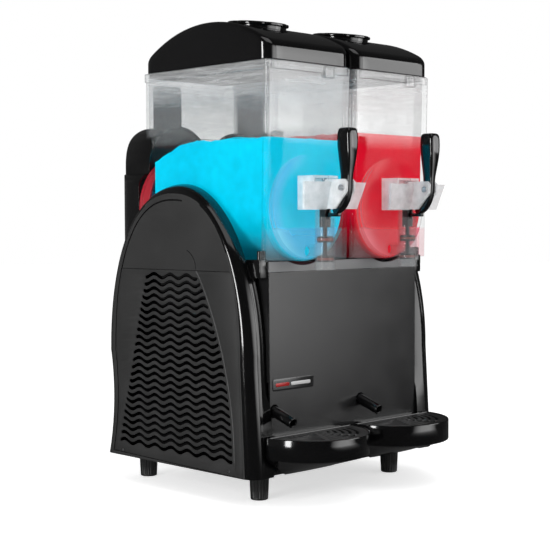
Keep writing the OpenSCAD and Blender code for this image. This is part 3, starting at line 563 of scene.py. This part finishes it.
def build_cheek(side):
    """Cheek shell: flat satin side with a groove, deep glossy rim, thicker foot below the deck."""
    s = -1 if side == "left" else 1
    face = abs(box_mm(side + "_cheek")[0 if s < 0 else 1].x)
    inner = face - 48
    bm = bmesh.new()
    groove = []
    for inset, depth in ((9.2, 0), (8.4, 1.3), (7.2, 1.3), (6.4, 0), (0, 0)):
        ring = []
        for y, z in cheek_outline(0, inset):
            cut = depth * smooth_step(10, 60, y) * smooth_step(180, 215, z)
            ring.append((-face + cut, y, z))
        groove.append(ring)
    rim = []
    for k in range(1, 11):
        f = pi / 2 * k / 10
        rim.append([(-face + RIM_DEPTH * (1 - cos(f)), y, z) for y, z in cheek_outline(sin(f))])
    loft(groove, bm, (True, False), 1)
    loft([groove[-1]] + rim, bm, (False, True), 0)
    shell = as_object("cheek_" + side, bm)
    full = cheek_outline(1, 0.2)
    low = [i for i, p in enumerate(full) if p[1] <= lip_z]
    foot = []
    for k in range(9):
        drawn = 8 * (1 - cos(pi / 2 * k / 8))
        near, far = cheek_outline(1, 0.2 + drawn * 0.15), cheek_outline(1, 0.2 + drawn)
        ring = []
        for i in low:
            t = smooth_step(158, 178, far[i][1])
            z = full[i][1] if i in (low[0], low[-1]) or full[i][1] > lip_z - 12 else mix(
                near[i][1], far[i][1], t)
            ring.append((mix(-face + RIM_DEPTH - 6, -inner, k / 8),
                         mix(near[i][0], far[i][0], t if far[i][0] < 0 else 0), z))
        foot.append(ring)
    boolean(shell, as_object("foot", loft(foot)), "UNION")
    boolean(shell, prism_x(side_outline(0.2, SEAM_Z + 0.3), -face - 1, -face + 3.4))
    boolean(shell, prism_x(side_outline(12, SEAM_Z - 4), -face - 1, -face + 20))
    crest = [(-14.6 + 40 * (1 - cos(radians(a))), SEAM_Z + 1.5 + 36 * sin(radians(a)))
             for a in range(0, 66, 5)]
    boolean(shell, prism_x(ribbon(crest, 1.2), -face - 1, -face + 0.9))
    boolean(shell, round_box((-inner - 19, -139, 372), (-inner - 0.6, -106, 403), 1.5), "UNION")
    for x in (-inner - 14.5, -inner - 5.5):
        pin = barrel([(0, 399), (4, 399), (4, 415), (3.2, 417), (0, 417)],
                     Matrix.Translation((x, -133, 0)), segments=24)
        boolean(shell, pin, "UNION")
    if s > 0:
        for v in shell.data.vertices:
            v.co.x = -v.co.x
        shell.data.flip_normals()
        for key in ("main_switch", "mode_switch_left", "mode_switch_right"):
            lo, hi = box_mm(key)
            boolean(shell, round_box(lo - Vector((4, 0.5, 1)), hi + Vector((4, 0.5, 1)), 0.4))
    piece(shell, "cabinet", side + "_cheek", (MATERIALS["black_gloss"], CHEEK_SIDE))
    for part in shell.data.polygons:
        part.material_index = int(abs(part.normal.x) > 0.99 and abs(part.center.x) > (face - 0.2) * MM)
    return shell


def crease_y(z):
    s = max(0.0, (SEAM_Z - 0.5 - z) / 311.5)
    return -14.6 - 92 * sin(pi / 2 * min(1.0, s) ** 0.85)


def wave_slot(y0, y1, z, h):
    """Wavy slot with rounded ends."""
    def wave(y):
        return z + 3.3 * cos((y - 97) * 2 * pi / 43)
    n = int((y1 - y0) / 2.5)
    ys = [mix(y0, y1, k / n) for k in range(n + 1)]
    low = [(y, wave(y) - h / 2) for y in ys]
    high = [(y, wave(y) + h / 2) for y in reversed(ys)]
    return ([(y0 - h * 0.35, wave(y0))] + low + [(y1 + h * 0.35, wave(y1))] + high)


def build_louvres(side):
    """Side panel with wavy slots and a raised front zone behind a curved crease, with a painted
    highlight along the crease.
    """
    s = -1 if side == "left" else 1
    node = side + "_louvre_panel"
    face = abs(box_mm(node)[0 if s < 0 else 1].x)
    holes = []
    for i in range(SLOT_ROWS):
        t = i / (SLOT_ROWS - 1)
        z = mix(SLOT_TOP, SLOT_LOW, t)
        holes.append(wave_slot(crease_y(z) + 7, mix(119, 194, t), z, SLOT_H))
    turn = Matrix(((0, 0, 1, 0), (1, 0, 0, 0), (0, 1, 0, 0), (0, 0, 0, 1)))
    top_z = SEAM_Z - 0.5
    outline = side_outline(0.8, top_z)
    sheet = plate(node + "_skin", outline, holes, 2.2,
                  0.5, Matrix.Translation((s * (face - 1.9), 0, 0)) @ turn)
    line = [(crease_y(z), z) for z in [mix(top_z, 71, k / 40) for k in range(41)]]
    rim = [p for p in outline if p[0] < line[0][0] and p[0] < crease_y(p[1]) - 0.5]
    rim = [p for p in rim if p[1] > foot_z + 1.5]
    rim.sort(key=lambda p: p[1])
    zone = line + [(line[-1][0] - 2, foot_z + 0.9)] + [(rim[0][0], foot_z + 0.9)] + rim
    raised = plate("zone", zone, [], 1.8, 0.7,
                   Matrix.Translation((s * (face - 0.9), 0, 0)) @ turn)
    join_mesh(sheet, raised)
    plain = len(sheet.data.polygons)
    # Thin strip along the crease in the lighter material: a painted highlight on the crease edge.
    highlight_bead = prism_x(ribbon(line, 1.3), s * (face - 0.9), s * (face - 0.02))
    if s > 0:
        highlight_bead.data.flip_normals()
    join_mesh(sheet, highlight_bead)
    piece(sheet, "cabinet", node, (CHEEK_SIDE, CHEEK_PAINTED_HIGHLIGHT))
    for part in list(sheet.data.polygons)[plain:]:
        part.material_index = 1
    return sheet


for side in SIDES:
    build_cheek(side)
    build_louvres(side)


# ---------- lids and filler caps ----------
LID_ARC_R = 274
LID_RISE = 73.5
LID_T = 3
LID_PLUG = 8
CAP_FROM_FRONT = 125.5


def plan_ring(x0, x1, y0, y1, r, height, corner=8, across=10, along=26):
    """Rounded rectangle seen from above; height(y) gives the Z of each point."""
    r = max(0.0, min(r, (x1 - x0) / 2, (y1 - y0) / 2))
    points = []

    def run(p, q, n):
        points.extend((mix(p[0], q[0], k / n), mix(p[1], q[1], k / n)) for k in range(n))

    def turn(cx, cy, start):
        points.extend((cx + r * cos(radians(start + 90 * k / corner)),
                       cy + r * sin(radians(start + 90 * k / corner))) for k in range(corner))
    run((x0 + r, y0), (x1 - r, y0), across)
    turn(x1 - r, y0 + r, -90)
    run((x1, y0 + r), (x1, y1 - r), along)
    turn(x1 - r, y1 - r, 0)
    run((x1 - r, y1), (x0 + r, y1), across)
    turn(x0 + r, y1 - r, 90)
    run((x0, y1 - r), (x0, y0 + r), along)
    turn(x0 + r, y0 + r, 180)
    return [(x, y, height(y)) for x, y in points]


def build_lid(side):
    """Lid shell: deep rounded rectangle under part of a long cylinder, with a locating plug."""
    lo, hi = box_mm("lid_" + side)
    rim, arc_y, half = lo.z + LID_PLUG, lo.y + 150.5, (hi.x - lo.x) / 2

    def crown(y):
        return rim + LID_RISE - LID_ARC_R + math.sqrt(LID_ARC_R ** 2 - (y - arc_y) ** 2)

    def ring(inset, height, front=None, back=None, r=None):
        front = inset if front is None else front
        back = inset if back is None else back
        r = max(22 - inset, 2) if r is None else r
        return plan_ring(lo.x + inset, hi.x - inset, lo.y + front, hi.y - back, r, height)

    fillet, inner = 9.0, 6.0
    rings = [ring(half, crown, r=0)]
    rings += [ring(d, crown) for d in (93, 80, 64, 48, 34, 24, 16, 12)]
    for k in range(7):
        f = radians(90 - 15 * k)
        rings.append(ring(fillet * (1 - cos(f)), lambda y: crown(y) - fillet * (1 - sin(f))))
    rings.append(ring(0, lambda y: mix(rim, crown(y), 0.35)))
    rings.append(ring(0, lambda y: rim + 1.2))
    rings.append(ring(1.0, lambda y: rim))
    rings.append(ring(10.6, lambda y: rim, 11.1, 3.6, 3))
    rings.append(ring(10.6, lambda y: lo.z + 0.6, 11.1, 3.6, 3))
    rings.append(ring(11.2, lambda y: lo.z, 11.7, 4.2, 3))
    rings.append(ring(14, lambda y: lo.z, 14.5, 7, 2))
    rings.append(ring(14, lambda y: rim + LID_T, 14.5, 7, 2))
    rings.append(ring(LID_T, lambda y: rim + LID_T, LID_T, LID_T))
    for k in range(7):
        f = radians(15 * k)
        rings.append(ring(LID_T + inner * (1 - cos(f)),
                          lambda y: crown(y) - LID_T - inner * (1 - sin(f))))
    rings += [ring(d, lambda y: crown(y) - LID_T) for d in (16, 34, 64, 86)]
    rings.append(ring(half, lambda y: crown(y) - LID_T, r=0))
    lid = as_object("lid_shell_" + side, loft(rings, caps=(False, False)))

    cap_y = lo.y + CAP_FROM_FRONT
    tilt = math.asin((arc_y - cap_y) / LID_ARC_R)
    seat = (Matrix.Translation(((lo.x + hi.x) / 2, cap_y, crown(cap_y)))
            @ Matrix.Rotation(tilt, 4, "X"))
    boolean(lid, barrel([(0, -14), (46.5, -14), (46.5, 8), (0, 8)], seat))
    neck = [(44, -6), (44, 1), (44.4, 1.4), (48.4, 1.4), (49, 1), (49, -6), (44, -6)]
    join_mesh(lid, as_object("neck", loft(moved(revolve(neck, 96), seat), caps=(False, False))))
    piece(lid, "lid_" + side, "lid_" + side)

    def scallop(angle, r, z):
        if r < 50:
            return 0
        off = abs((angle + pi / 6) % (pi / 3) - pi / 6)
        return -2.2 * math.exp(-(off / 0.10) ** 2)
    profile = [(0, 6.2), (20, 6.1), (37, 6.0), (38.4, 6.2), (39.4, 6.8), (50.2, 6.8), (51.8, 6.5),
               (52.7, 5.8), (53, 4.8), (53, 2.8), (52.4, 2.0), (51, 1.8), (43.7, 1.8),
               (43.7, -8.4), (43.1, -9), (41, -9), (41, 3.2), (0, 3.2)]
    cap = barrel(profile, seat, "filler_lid_" + side, 120, scallop)
    piece(cap, "cap_" + side, "filler_cap_" + side)


for side in SIDES:
    build_lid(side)


# ---------- bowls and slush ----------
RIM_Z = box_mm("lid_left")[0].z + LID_PLUG
BOWL_FRONT_Y = box_mm("lid_left")[0].y + 0.5
SKIRT_Z = 400
FRONT_T = 5


def front_y(z):
    """The bowl's leaning front face."""
    return BOWL_FRONT_Y + 8 * (RIM_Z - z) / (RIM_Z - SKIRT_Z)


def trough(x, axis_z, r, behind, back, top, edge, lift=None, name="trough"):
    """U-shaped solid along Y with a leaning, round-edged front. lift(x, y) shapes the top."""
    stations = [(edge * (1 - sin(radians(a))), edge * (1 - cos(radians(a))), True)
                for a in (0, 18, 36, 54, 72, 90)]
    start = BOWL_FRONT_Y + behind + edge + 12
    count = 46 if lift else 3
    stations += [(0, mix(start, back, k / count), False) for k in range(count + 1)]
    rings = []
    for inset, depth, near in stations:
        reach = r - inset
        ring = []

        def put(px, pz):
            y = front_y(pz) + behind + depth if near else depth
            ring.append((x + px, y, pz))
        for k in range(41):
            a = pi + pi * k / 40
            put(reach * cos(a), axis_z + reach * sin(a))
        surface = [top + (lift(px, depth if not near else front_y(top)) if lift else 0)
                   for px in [reach * (1 - 2 * k / 24) for k in range(25)]]
        for k in range(1, 6):
            put(reach, mix(axis_z, surface[0], k / 6))
        for k in range(25):
            put(reach * (1 - 2 * k / 24), surface[k])
        for k in range(5, 0, -1):
            put(-reach, mix(axis_z, surface[-1], k / 6))
        rings.append(ring)
    return as_object(name, loft(rings))


def build_bowl_mesh():
    """One bowl about X = 0: trough, leaning face plate, boss, flange, collar, spout and tab."""
    axis_z, spout_y, spout_r, bore = BOSS_Z / MM, -190, 17, 14.45
    bowl = trough(0, axis_z, 95, 0, 141, RIM_Z - 1, 10, name="bowl")
    face_rings = []
    for z, inset in ((SKIRT_Z, 0.8), (SKIRT_Z + 0.8, 0)) + tuple(
            (mix(SKIRT_Z + 1, RIM_Z - 2, k / 8), 0) for k in range(9)):
        f = front_y(z)
        face_rings.append(plan_ring(-100 + inset, 100 - inset, f - 0.3 + inset, f + 12 - inset, 5.8,
                                    lambda y: z, along=4))
    boolean(bowl, as_object("face", loft(face_rings)), "UNION")
    step = round_box((-95, 130, 612), (95, 157, RIM_Z - 1), 3)
    boolean(bowl, step, "UNION")
    flange = [plan_ring(-100 + i, 100 - i, BOWL_FRONT_Y - 2 + i, 161.6 - i, 14, lambda y: z)
              for i, z in ((4.6, 710.4), (1.2, 711.2), (0.2, 712), (0, 713.5), (0, 724.6),
                           (0.4, 725.6), (1.4, RIM_Z))]
    boolean(bowl, as_object("flange", loft(flange)), "UNION")
    boolean(bowl, disc_y(0, axis_z, -155.2, -146, 87, 1.6), "UNION")
    boolean(bowl, disc_y(0, axis_z, 138, 165, 93, 1.2), "UNION")
    upright = Matrix.Translation((0, spout_y, 0))
    tube = [(0, 385), (spout_r - 1, 385), (spout_r, 386), (spout_r, 482), (spout_r - 1, 483),
            (0, 483)]
    boolean(bowl, barrel(tube, upright), "UNION")
    boolean(bowl, disc_y(0, 415, spout_y, -150, 12), "UNION")
    boolean(bowl, round_box((30, BOWL_FRONT_Y - 6, RIM_Z - 22),
                            (56, BOWL_FRONT_Y + 1, RIM_Z - 3), 2.4), "UNION")
    inside = trough(0, axis_z, 91, FRONT_T, 137, RIM_Z + 6, 6)
    boolean(bowl, inside)
    boolean(bowl, round_box((-91, 0, 616), (91, 153, RIM_Z + 6), 0))
    boolean(bowl, disc_y(0, axis_z, 134, 167, 89.5))
    boolean(bowl, barrel([(0, 380), (bore, 380), (bore, 490), (0, 490)], upright))
    boolean(bowl, round_box((-20, spout_y - 20, 471.5), (20, spout_y, 490), 0))
    boolean(bowl, disc_y(0, 415, spout_y, -140, 8))
    boolean(bowl, round_box((34, BOWL_FRONT_Y - 8, RIM_Z - 18.5),
                            (52, BOWL_FRONT_Y - 4.2, RIM_Z - 6.5), 0.8))
    return bowl


def ripple(front_z, rear_z, seed):
    """Slush surface: level at the front, falling to the rear, with soft lumps."""
    def lift(x, y):
        fall = smooth_step(40, 165, y) * (rear_z - front_z) * 1.05
        lumps = noise.noise(Vector((x * 0.03 + seed, y * 0.03, 0))) * 5
        lumps += noise.noise(Vector((x * 0.11, y * 0.11 + seed, 3))) * 1.8
        return fall + lumps * smooth_step(-158, -120, y)
    return lift


bowl_mesh = build_bowl_mesh()
for side in SIDES:
    lo, hi = box_mm("bowl_" + side)
    centre = (lo.x + hi.x) / 2
    ob = link_object(bpy.data.objects.new("clear_bowl_" + side, bowl_mesh.data.copy()))
    for v in ob.data.vertices:
        v.co.x += centre * MM
    piece(ob, "bowl_" + side, "bowl_" + side, angle=28)

    lo, hi = box_mm("slush_" + side)
    reach = (hi.x - lo.x) / 2
    rear = hi.z - (35 if side == "left" else 33)
    ice_body = trough((lo.x + hi.x) / 2, lo.z + reach, reach, FRONT_T + 0.3, hi.y, hi.z, 6,
                      ripple(hi.z, rear, 1.7 if side == "left" else 7.3), "slush_ice_" + side)
    boolean(ice_body, disc_y((lo.x + hi.x) / 2, lo.z + reach, -138, 160, 88))
    piece(ice_body, "bowl_" + side, "slush_" + side, angle=50)
bpy.data.objects.remove(bowl_mesh)


# ---------- tap levers ----------


def build_lever(side):
    """Lever: fat flat-sided grip, slim waist between the ears, foot curving back to a tongue."""
    lo, hi = box_mm("tap_handle_" + side)
    x, top = (lo.x + hi.x) / 2, hi.z
    # (Y, Z below the top, half depth, half width)
    spine = [(-240, 0, 9.0, 8.2), (-240, 1.2, 11.4, 10.4), (-240, 4, 13.2, 12.0),
             (-240, 10, 14.2, 12.7), (-240, 20, 14.5, 12.8), (-240, 30, 14.4, 12.4),
             (-240, 42, 13.6, 11.0), (-239.5, 54, 12.4, 9.4), (-239, 64, 11.2, 8.0),
             (-238.6, 74, 10.2, 6.5), (-238.2, 84, 9.7, 6.0), (-238, 96.5, 9.5, 6.0),
             (-236.6, 106, 9.3, 6.0), (-234, 114, 9.0, 6.0), (-230, 121, 8.6, 6.0),
             (-225, 127, 8.2, 6.0), (-219, 131.5, 7.4, 5.4), (-214, 134, 6.0, 4.4),
             (-211, 135.2, 4.4, 3.6)]
    rings = []
    for i, (y, drop, depth, width) in enumerate(spine):
        before, after = spine[max(i - 1, 0)], spine[min(i + 1, len(spine) - 1)]
        along = Vector((0, after[0] - before[0], before[1] - after[1])).normalized()
        out = Vector((0, along.z, -along.y))
        ring = []
        for k in range(40):
            a = 2 * pi * k / 40
            u = math.copysign(abs(cos(a)) ** 0.42, cos(a)) * width
            v = math.copysign(abs(sin(a)) ** 0.42, sin(a)) * depth
            ring.append(Vector((x + u, y, top - drop)) + out * v)
        rings.append(ring)
    lever = as_object("lever_" + side, loft(rings), 40)
    tongue = round_box((x - 3.4, -224, top - 143), (x + 3.4, -185, top - 137), 1.2)
    boolean(lever, tongue, "UNION")
    pivot_y, pivot_z = -238, top - 96.5
    hole = barrel([(0, -20), (3.05, -20), (3.05, 20), (0, 20)],
                  Matrix.Translation((x, pivot_y, pivot_z)) @ Matrix.Rotation(pi / 2, 4, "Y"),
                  segments=32)
    boolean(lever, hole)
    piece(lever, "handle_" + side, "tap_handle_" + side, angle=30)


def coil_height(turn, turns):
    """Share of a coil spring's height at a turn; the end turns lie flat."""
    if turn > turns / 2:
        return 1 - coil_height(turns - turn, turns)
    return (turn * turn / 2 if turn < 1 else turn - 0.5) / (turns - 1)


def build_spring(side):
    """Coil spring over the piston, built at one length; the real spring shortens as the piston rises.
    """
    lo, hi = box_mm("tap_spring_" + side)
    centre, wire, turns = (lo + hi) / 2, 0.8, 8
    coil = (hi.y - lo.y) / 2 - wire
    rings = []
    for i in range(turns * 28 + 1):
        turn = i / 28
        a = 2 * pi * turn
        z = mix(lo.z + wire, hi.z - wire, coil_height(turn, turns))
        ring = []
        for k in range(10):
            b = 2 * pi * k / 10
            reach = coil + wire * cos(b)
            ring.append((centre.x + reach * cos(a), centre.y + reach * sin(a), z + wire * sin(b)))
        rings.append(ring)
    spring = piece(as_object("spring_" + side, loft(rings)), "bowl_" + side, "tap_spring_" + side)
    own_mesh(spring)


for side in SIDES:
    build_lever(side)
    build_spring(side)


# ---------- drip trays and grilles ----------
TRAY_NECK = 79.5


def tray_ring(x, inset, z, squeeze=0.0, ledge=True):
    """D-shaped ring, with or without the ledge between the cheeks; squeeze draws in the round part."""
    lo, hi = box_mm("drip_tray_left")
    arc_y = lo.y + (hi.x - lo.x) / 2
    r, back = (hi.x - lo.x) / 2 - inset, hi.y if ledge else arc_y - inset + 0.3
    shoulder, neck = arc_y - inset, TRAY_NECK - inset
    first = math.asin(inset / r)
    turns = [mix(first, pi - first, k / 60) for k in range(61)]
    half = [(-neck, mix(back, shoulder, k / 2)) for k in range(3)]
    half.append((-mix(neck, r, 0.5), shoulder))
    points = half + [(-r * cos(a), arc_y - r * sin(a)) for a in turns]
    points += [(-px, py) for px, py in reversed(half)]
    points += [(mix(neck, -neck, k / 12), back) for k in range(1, 12)]
    return [(x + px * mix(1, 0.6, squeeze),
             arc_y + (py - arc_y) * (mix(1, 0.03, squeeze) if py < arc_y else 1), z)
            for px, py in points]


def build_tray(side):
    lo, hi = box_mm("drip_tray_" + side)
    x, low, top = (lo.x + hi.x) / 2, lo.z, hi.z
    wall = top - 36
    rings = [tray_ring(x, 1.5, mix(low, wall, t), 1 - t) for t in (0, 0.3, 0.6, 0.85, 1)]
    for inset, z in ((0.5, wall + 0.6), (0, wall + 2), (0, mix(wall, top, 0.5)), (0, top - 1.6),
                     (0.5, top - 0.4), (1.2, top)):
        rings.append(tray_ring(x, inset, z))
    for inset, z in ((1.3, top), (1.9, top - 0.3), (2.4, top - 1.2), (2.5, top - 8), (2.5, wall + 5),
                     (3.4, wall + 3.2), (5, wall + 2.5)):
        rings.append(tray_ring(x, inset, z, ledge=False))
    piece(as_object("tray_" + side, loft(rings)), "tray_" + side, "drip_tray_" + side)

    g_lo, g_hi = box_mm("drip_grille_" + side)
    sheet = [(p[0], p[1]) for p in tray_ring(x, 3.2, 0, ledge=False)]
    centre_y, holes = lo.y + 89, []
    for i in range(1, 7):
        mid, gap = 12 * i - 1, 4.2
        for k in range(6):
            a0, a1 = radians(60 * k) + gap / mid, radians(60 * (k + 1)) - gap / mid
            steps = max(4, int(mid * (a1 - a0) / 3))
            arc = [mix(a0, a1, j / steps) for j in range(steps + 1)]
            hole = [((mid + 2.6) * cos(a), (mid + 2.6) * sin(a)) for a in arc]
            hole += [((mid - 2.6) * cos(a), (mid - 2.6) * sin(a)) for a in reversed(arc)]
            limit = g_hi.y - 8 - centre_y
            if max(p[1] for p in hole) < limit:
                holes.append([(x + px, centre_y + py) for px, py in hole])
    grille = plate("grille_" + side, sheet, holes, 7, 0.7,
                   Matrix.Translation((0, 0, g_hi.z - 3.5)))
    for angle in (-60, 0, 60):
        leg = Matrix.Translation((x, centre_y + 4, 0)) @ Matrix.Rotation(radians(angle), 4, "Z")
        leg = leg @ Matrix.Translation((0, -66, 0))
        profile = [(0, g_lo.z), (3.4, g_lo.z), (4, g_lo.z + 0.6), (4, g_hi.z - 6), (0, g_hi.z - 6)]
        join_mesh(grille, barrel(profile, leg, segments=24))
    piece(grille, "grille_" + side, "drip_grille_" + side)


for side in SIDES:
    build_tray(side)


# ---------- feet, badge and softened CAD parts ----------


def build_feet():
    """Ribbed feet under a plain collar, with studs up into the pan."""
    lo, hi = box_mm("feet")
    r_top, height = 16.8, 47
    feet = None
    for x in (lo.x + r_top, hi.x - r_top):
        for y in (lo.y + r_top, hi.y - r_top):
            def flute(a, r, z):
                return -0.9 * abs(sin(a * 11)) if 3 < z < height - 9 and r > 10 else 0
            profile = [(0, 0), (13.4, 0), (14.8, 1), (15, 2.8), (15, 3.2),
                       (mix(15, 16.8, 0.5), 20), (16.6, height - 9.2), (16.8, height - 8.8),
                       (16.8, height - 7), (14.6, height - 6.4), (14.6, height), (4, height),
                       (4, hi.z), (0, hi.z)]
            foot = barrel(profile, Matrix.Translation((x, y, 0)), "foot", 132, flute)
            feet = join_mesh(feet, foot) if feet else foot
    feet.name = "ribbed_feet"
    piece(feet, "cabinet", "feet", angle=40)


build_feet()

RED_BAR = grained("badge_red", (0.42, 0.012, 0.012), 0.3)
WHITE_BAR = grained("badge_white", (0.6, 0.6, 0.6), 0.3)
plate_lo, plate_hi = box_mm("name_plate")
FACE_FRONT = Matrix(((1, 0, 0, 0), (0, 0, -1, 0), (0, 1, 0, 0), (0, 0, 0, 1)))


def flat_bar(name, x0, x1, z0, z1, y, thick, r):
    ring = plan_ring(x0, x1, z0, z1, r, lambda v: 0, corner=6, across=2, along=2)
    return plate(name, [(p[0], p[1]) for p in ring], [], thick, thick * 0.3,
                 Matrix.Translation((0, y, 0)) @ FACE_FRONT)


badge = flat_bar("badge", plate_lo.x, plate_hi.x, plate_lo.z, plate_hi.z,
                 (plate_lo.y + plate_hi.y) / 2 + 0.1, plate_hi.y - plate_lo.y - 0.2, 3.5)
piece(badge, "cabinet", "name_plate")
for name, left, right, mat in (("badge_bar_red", 6, 38, RED_BAR),
                               ("badge_bar_white", 42, 88, WHITE_BAR)):
    bar = flat_bar(name, plate_lo.x + left, plate_lo.x + right, plate_lo.z + 7, plate_hi.z - 7,
                   plate_lo.y + 0.1, 0.4, 2.5)
    bar.data.materials.append(mat)
    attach(bar, "cabinet")

for node_name, width in (("top_deck", 1.5), ("motor_cover", 4), ("front_panel", 0.8),
                         ("rear_panel", 0.8), ("tap_bracket_left", 1.0),
                         ("tap_bracket_right", 1.0), ("drain_tubes", 1.4), ("base_pan", 0.8),
                         ("main_switch", 1.0), ("mode_switch_left", 1.0),
                         ("mode_switch_right", 1.0), ("barrel_gaskets", 1.2)):
    part = frame["nodes"][node_name]
    weld = part.modifiers.new("weld", "WELD")
    weld.merge_threshold = 1e-5
    flat = part.modifiers.new("flat", "DECIMATE")
    flat.decimate_type, flat.angle_limit = "DISSOLVE", radians(0.5)
    bevel_edges(part, width)


# ---------- studio ----------


# A bright one at the front right and a dim one at the rear left: direction, cosines where the
# glow starts and is full, strength
GLOWS = (((0.36, -0.933, 0), 0.88, 0.985, 3.4), ((-0.5, 0.866, 0), 0.3, 1.0, 0.10))


def studio_glow(tree, way):
    """What mirror-like surfaces see in a direction: dark but for the glows."""
    total = None
    for toward, near, far, strength in GLOWS:
        facing = add(tree, "ShaderNodeVectorMath", [(0, way)], operation="DOT_PRODUCT")
        facing.inputs[1].default_value = toward
        lobe = remap(tree, facing.outputs["Value"], 0.02, strength, near, far)
        total = calc(tree, "ADD", lobe, total) if total else lobe
    return total


def choose(tree, test, no, yes):
    """Blends two numbers or sockets by a 0 to 1 socket."""
    node = add(tree, "ShaderNodeMix")
    tree.links.new(test, node.inputs[0])
    for slot, value in ((2, no), (3, yes)):
        if isinstance(value, (int, float)):
            node.inputs[slot].default_value = value
        else:
            tree.links.new(value, node.inputs[slot])
    return node.outputs[0]


def build_floor():
    """Pale floor; mirror-like surfaces see it dim nearby and as the studio further out."""
    mat, tree, shader = new_material("studio_floor")
    link = tree.links.new
    speck = noise_node(tree, 3, 2).outputs["Fac"]
    link(tone(tree, speck, (0.9, 0.9, 0.9), 0.01), shader.inputs["Base Color"])
    shader.inputs["Roughness"].default_value = 0.8
    seen = add(tree, "ShaderNodeLightPath")
    shader.inputs["Emission Color"].default_value = (1, 1, 1, 1)
    link(remap(tree, seen.outputs["Is Camera Ray"], 0, 0.6, 0, 1),
         shader.inputs["Emission Strength"])
    place = add(tree, "ShaderNodeNewGeometry").outputs["Position"]
    way = add(tree, "ShaderNodeVectorMath", [(0, place)], operation="NORMALIZE").outputs[0]
    reach = add(tree, "ShaderNodeVectorMath", [(0, place)], operation="LENGTH").outputs["Value"]
    spread = remap(tree, reach, 0, 1, 0.7, 4.0)
    mirror = add(tree, "ShaderNodeEmission")
    link(choose(tree, spread, 0.05, studio_glow(tree, way)), mirror.inputs["Strength"])
    total = add(tree, "ShaderNodeMixShader", [(0, seen.outputs["Is Glossy Ray"])])
    link(shader.outputs[0], total.inputs[1])
    link(mirror.outputs[0], total.inputs[2])
    link(total.outputs[0], tree.nodes["Material Output"].inputs["Surface"])
    bm = bmesh.new()
    bmesh.ops.create_circle(bm, cap_ends=True, radius=12, segments=96)
    floor = link_object(bpy.data.objects.new("floor", bpy.data.meshes.new("floor")))
    bm.to_mesh(floor.data)
    bm.free()
    floor.data.materials.append(mat)


def build_world():
    """White to the camera, even light for matt surfaces, the studio glow for mirror-like ones."""
    world = bpy.data.worlds.new("studio")
    world.use_nodes = True
    scene.world = world
    tree = world.node_tree
    seen = add(tree, "ShaderNodeLightPath")
    way = add(tree, "ShaderNodeTexCoord").outputs["Generated"]
    level = choose(tree, seen.outputs["Is Glossy Ray"], 0.6, studio_glow(tree, way))
    level = choose(tree, seen.outputs["Is Camera Ray"], level, 1.0)
    back = tree.nodes["Background"]
    back.inputs["Color"].default_value = (1, 1, 1, 1)
    tree.links.new(level, back.inputs["Strength"])


def softbox(name, place, target, width, height, radiance):
    data = bpy.data.lights.new(name, "AREA")
    data.shape, data.size, data.size_y = "RECTANGLE", width, height
    data.energy = radiance * pi * width * height
    lamp = link_object(bpy.data.objects.new(name, data))
    lamp.location = place
    lamp.rotation_euler = (Vector(target) - Vector(place)).to_track_quat("-Z", "Y").to_euler()
    return lamp


build_floor()
build_world()
softbox("key", (2.1, -2.1, 1.25), (0, 0, 0.35), 1.3, 1.5, 3.0)
softbox("strip", (-2.65, -0.3, 0.75), (0, 0, 0.5), 0.50, 1.3, 18)
softbox("top", (-0.3, -1.2, 3.0), (0, 0, 0.4), 2.0, 2.0, 1.2)

CAMERA_AT = Vector((-1.6516, -1.6360, 0.4651))
AZIMUTH, PITCH, ROLL, LENS = radians(-44.67), radians(2.39), -0.0036, 84.16
right = Vector((cos(AZIMUTH), sin(AZIMUTH), 0))
back = Vector((sin(AZIMUTH) * cos(PITCH), -cos(AZIMUTH) * cos(PITCH), sin(PITCH)))
up = back.cross(right)
right, up = cos(ROLL) * right + sin(ROLL) * up, cos(ROLL) * up - sin(ROLL) * right
camera_data = bpy.data.cameras.new("camera")
camera_data.lens, camera_data.sensor_width = LENS, 36
camera_data.clip_end = 60
camera = link_object(bpy.data.objects.new("camera", camera_data))
turn = Matrix((right, up, back)).transposed().to_4x4()
camera.matrix_world = Matrix.Translation(CAMERA_AT) @ turn
scene.camera = camera
scene.view_settings.view_transform = "Standard"
scene.view_settings.look = "None"
scene.cycles.transparent_max_bounces = 40

bpy.context.view_layer.update()
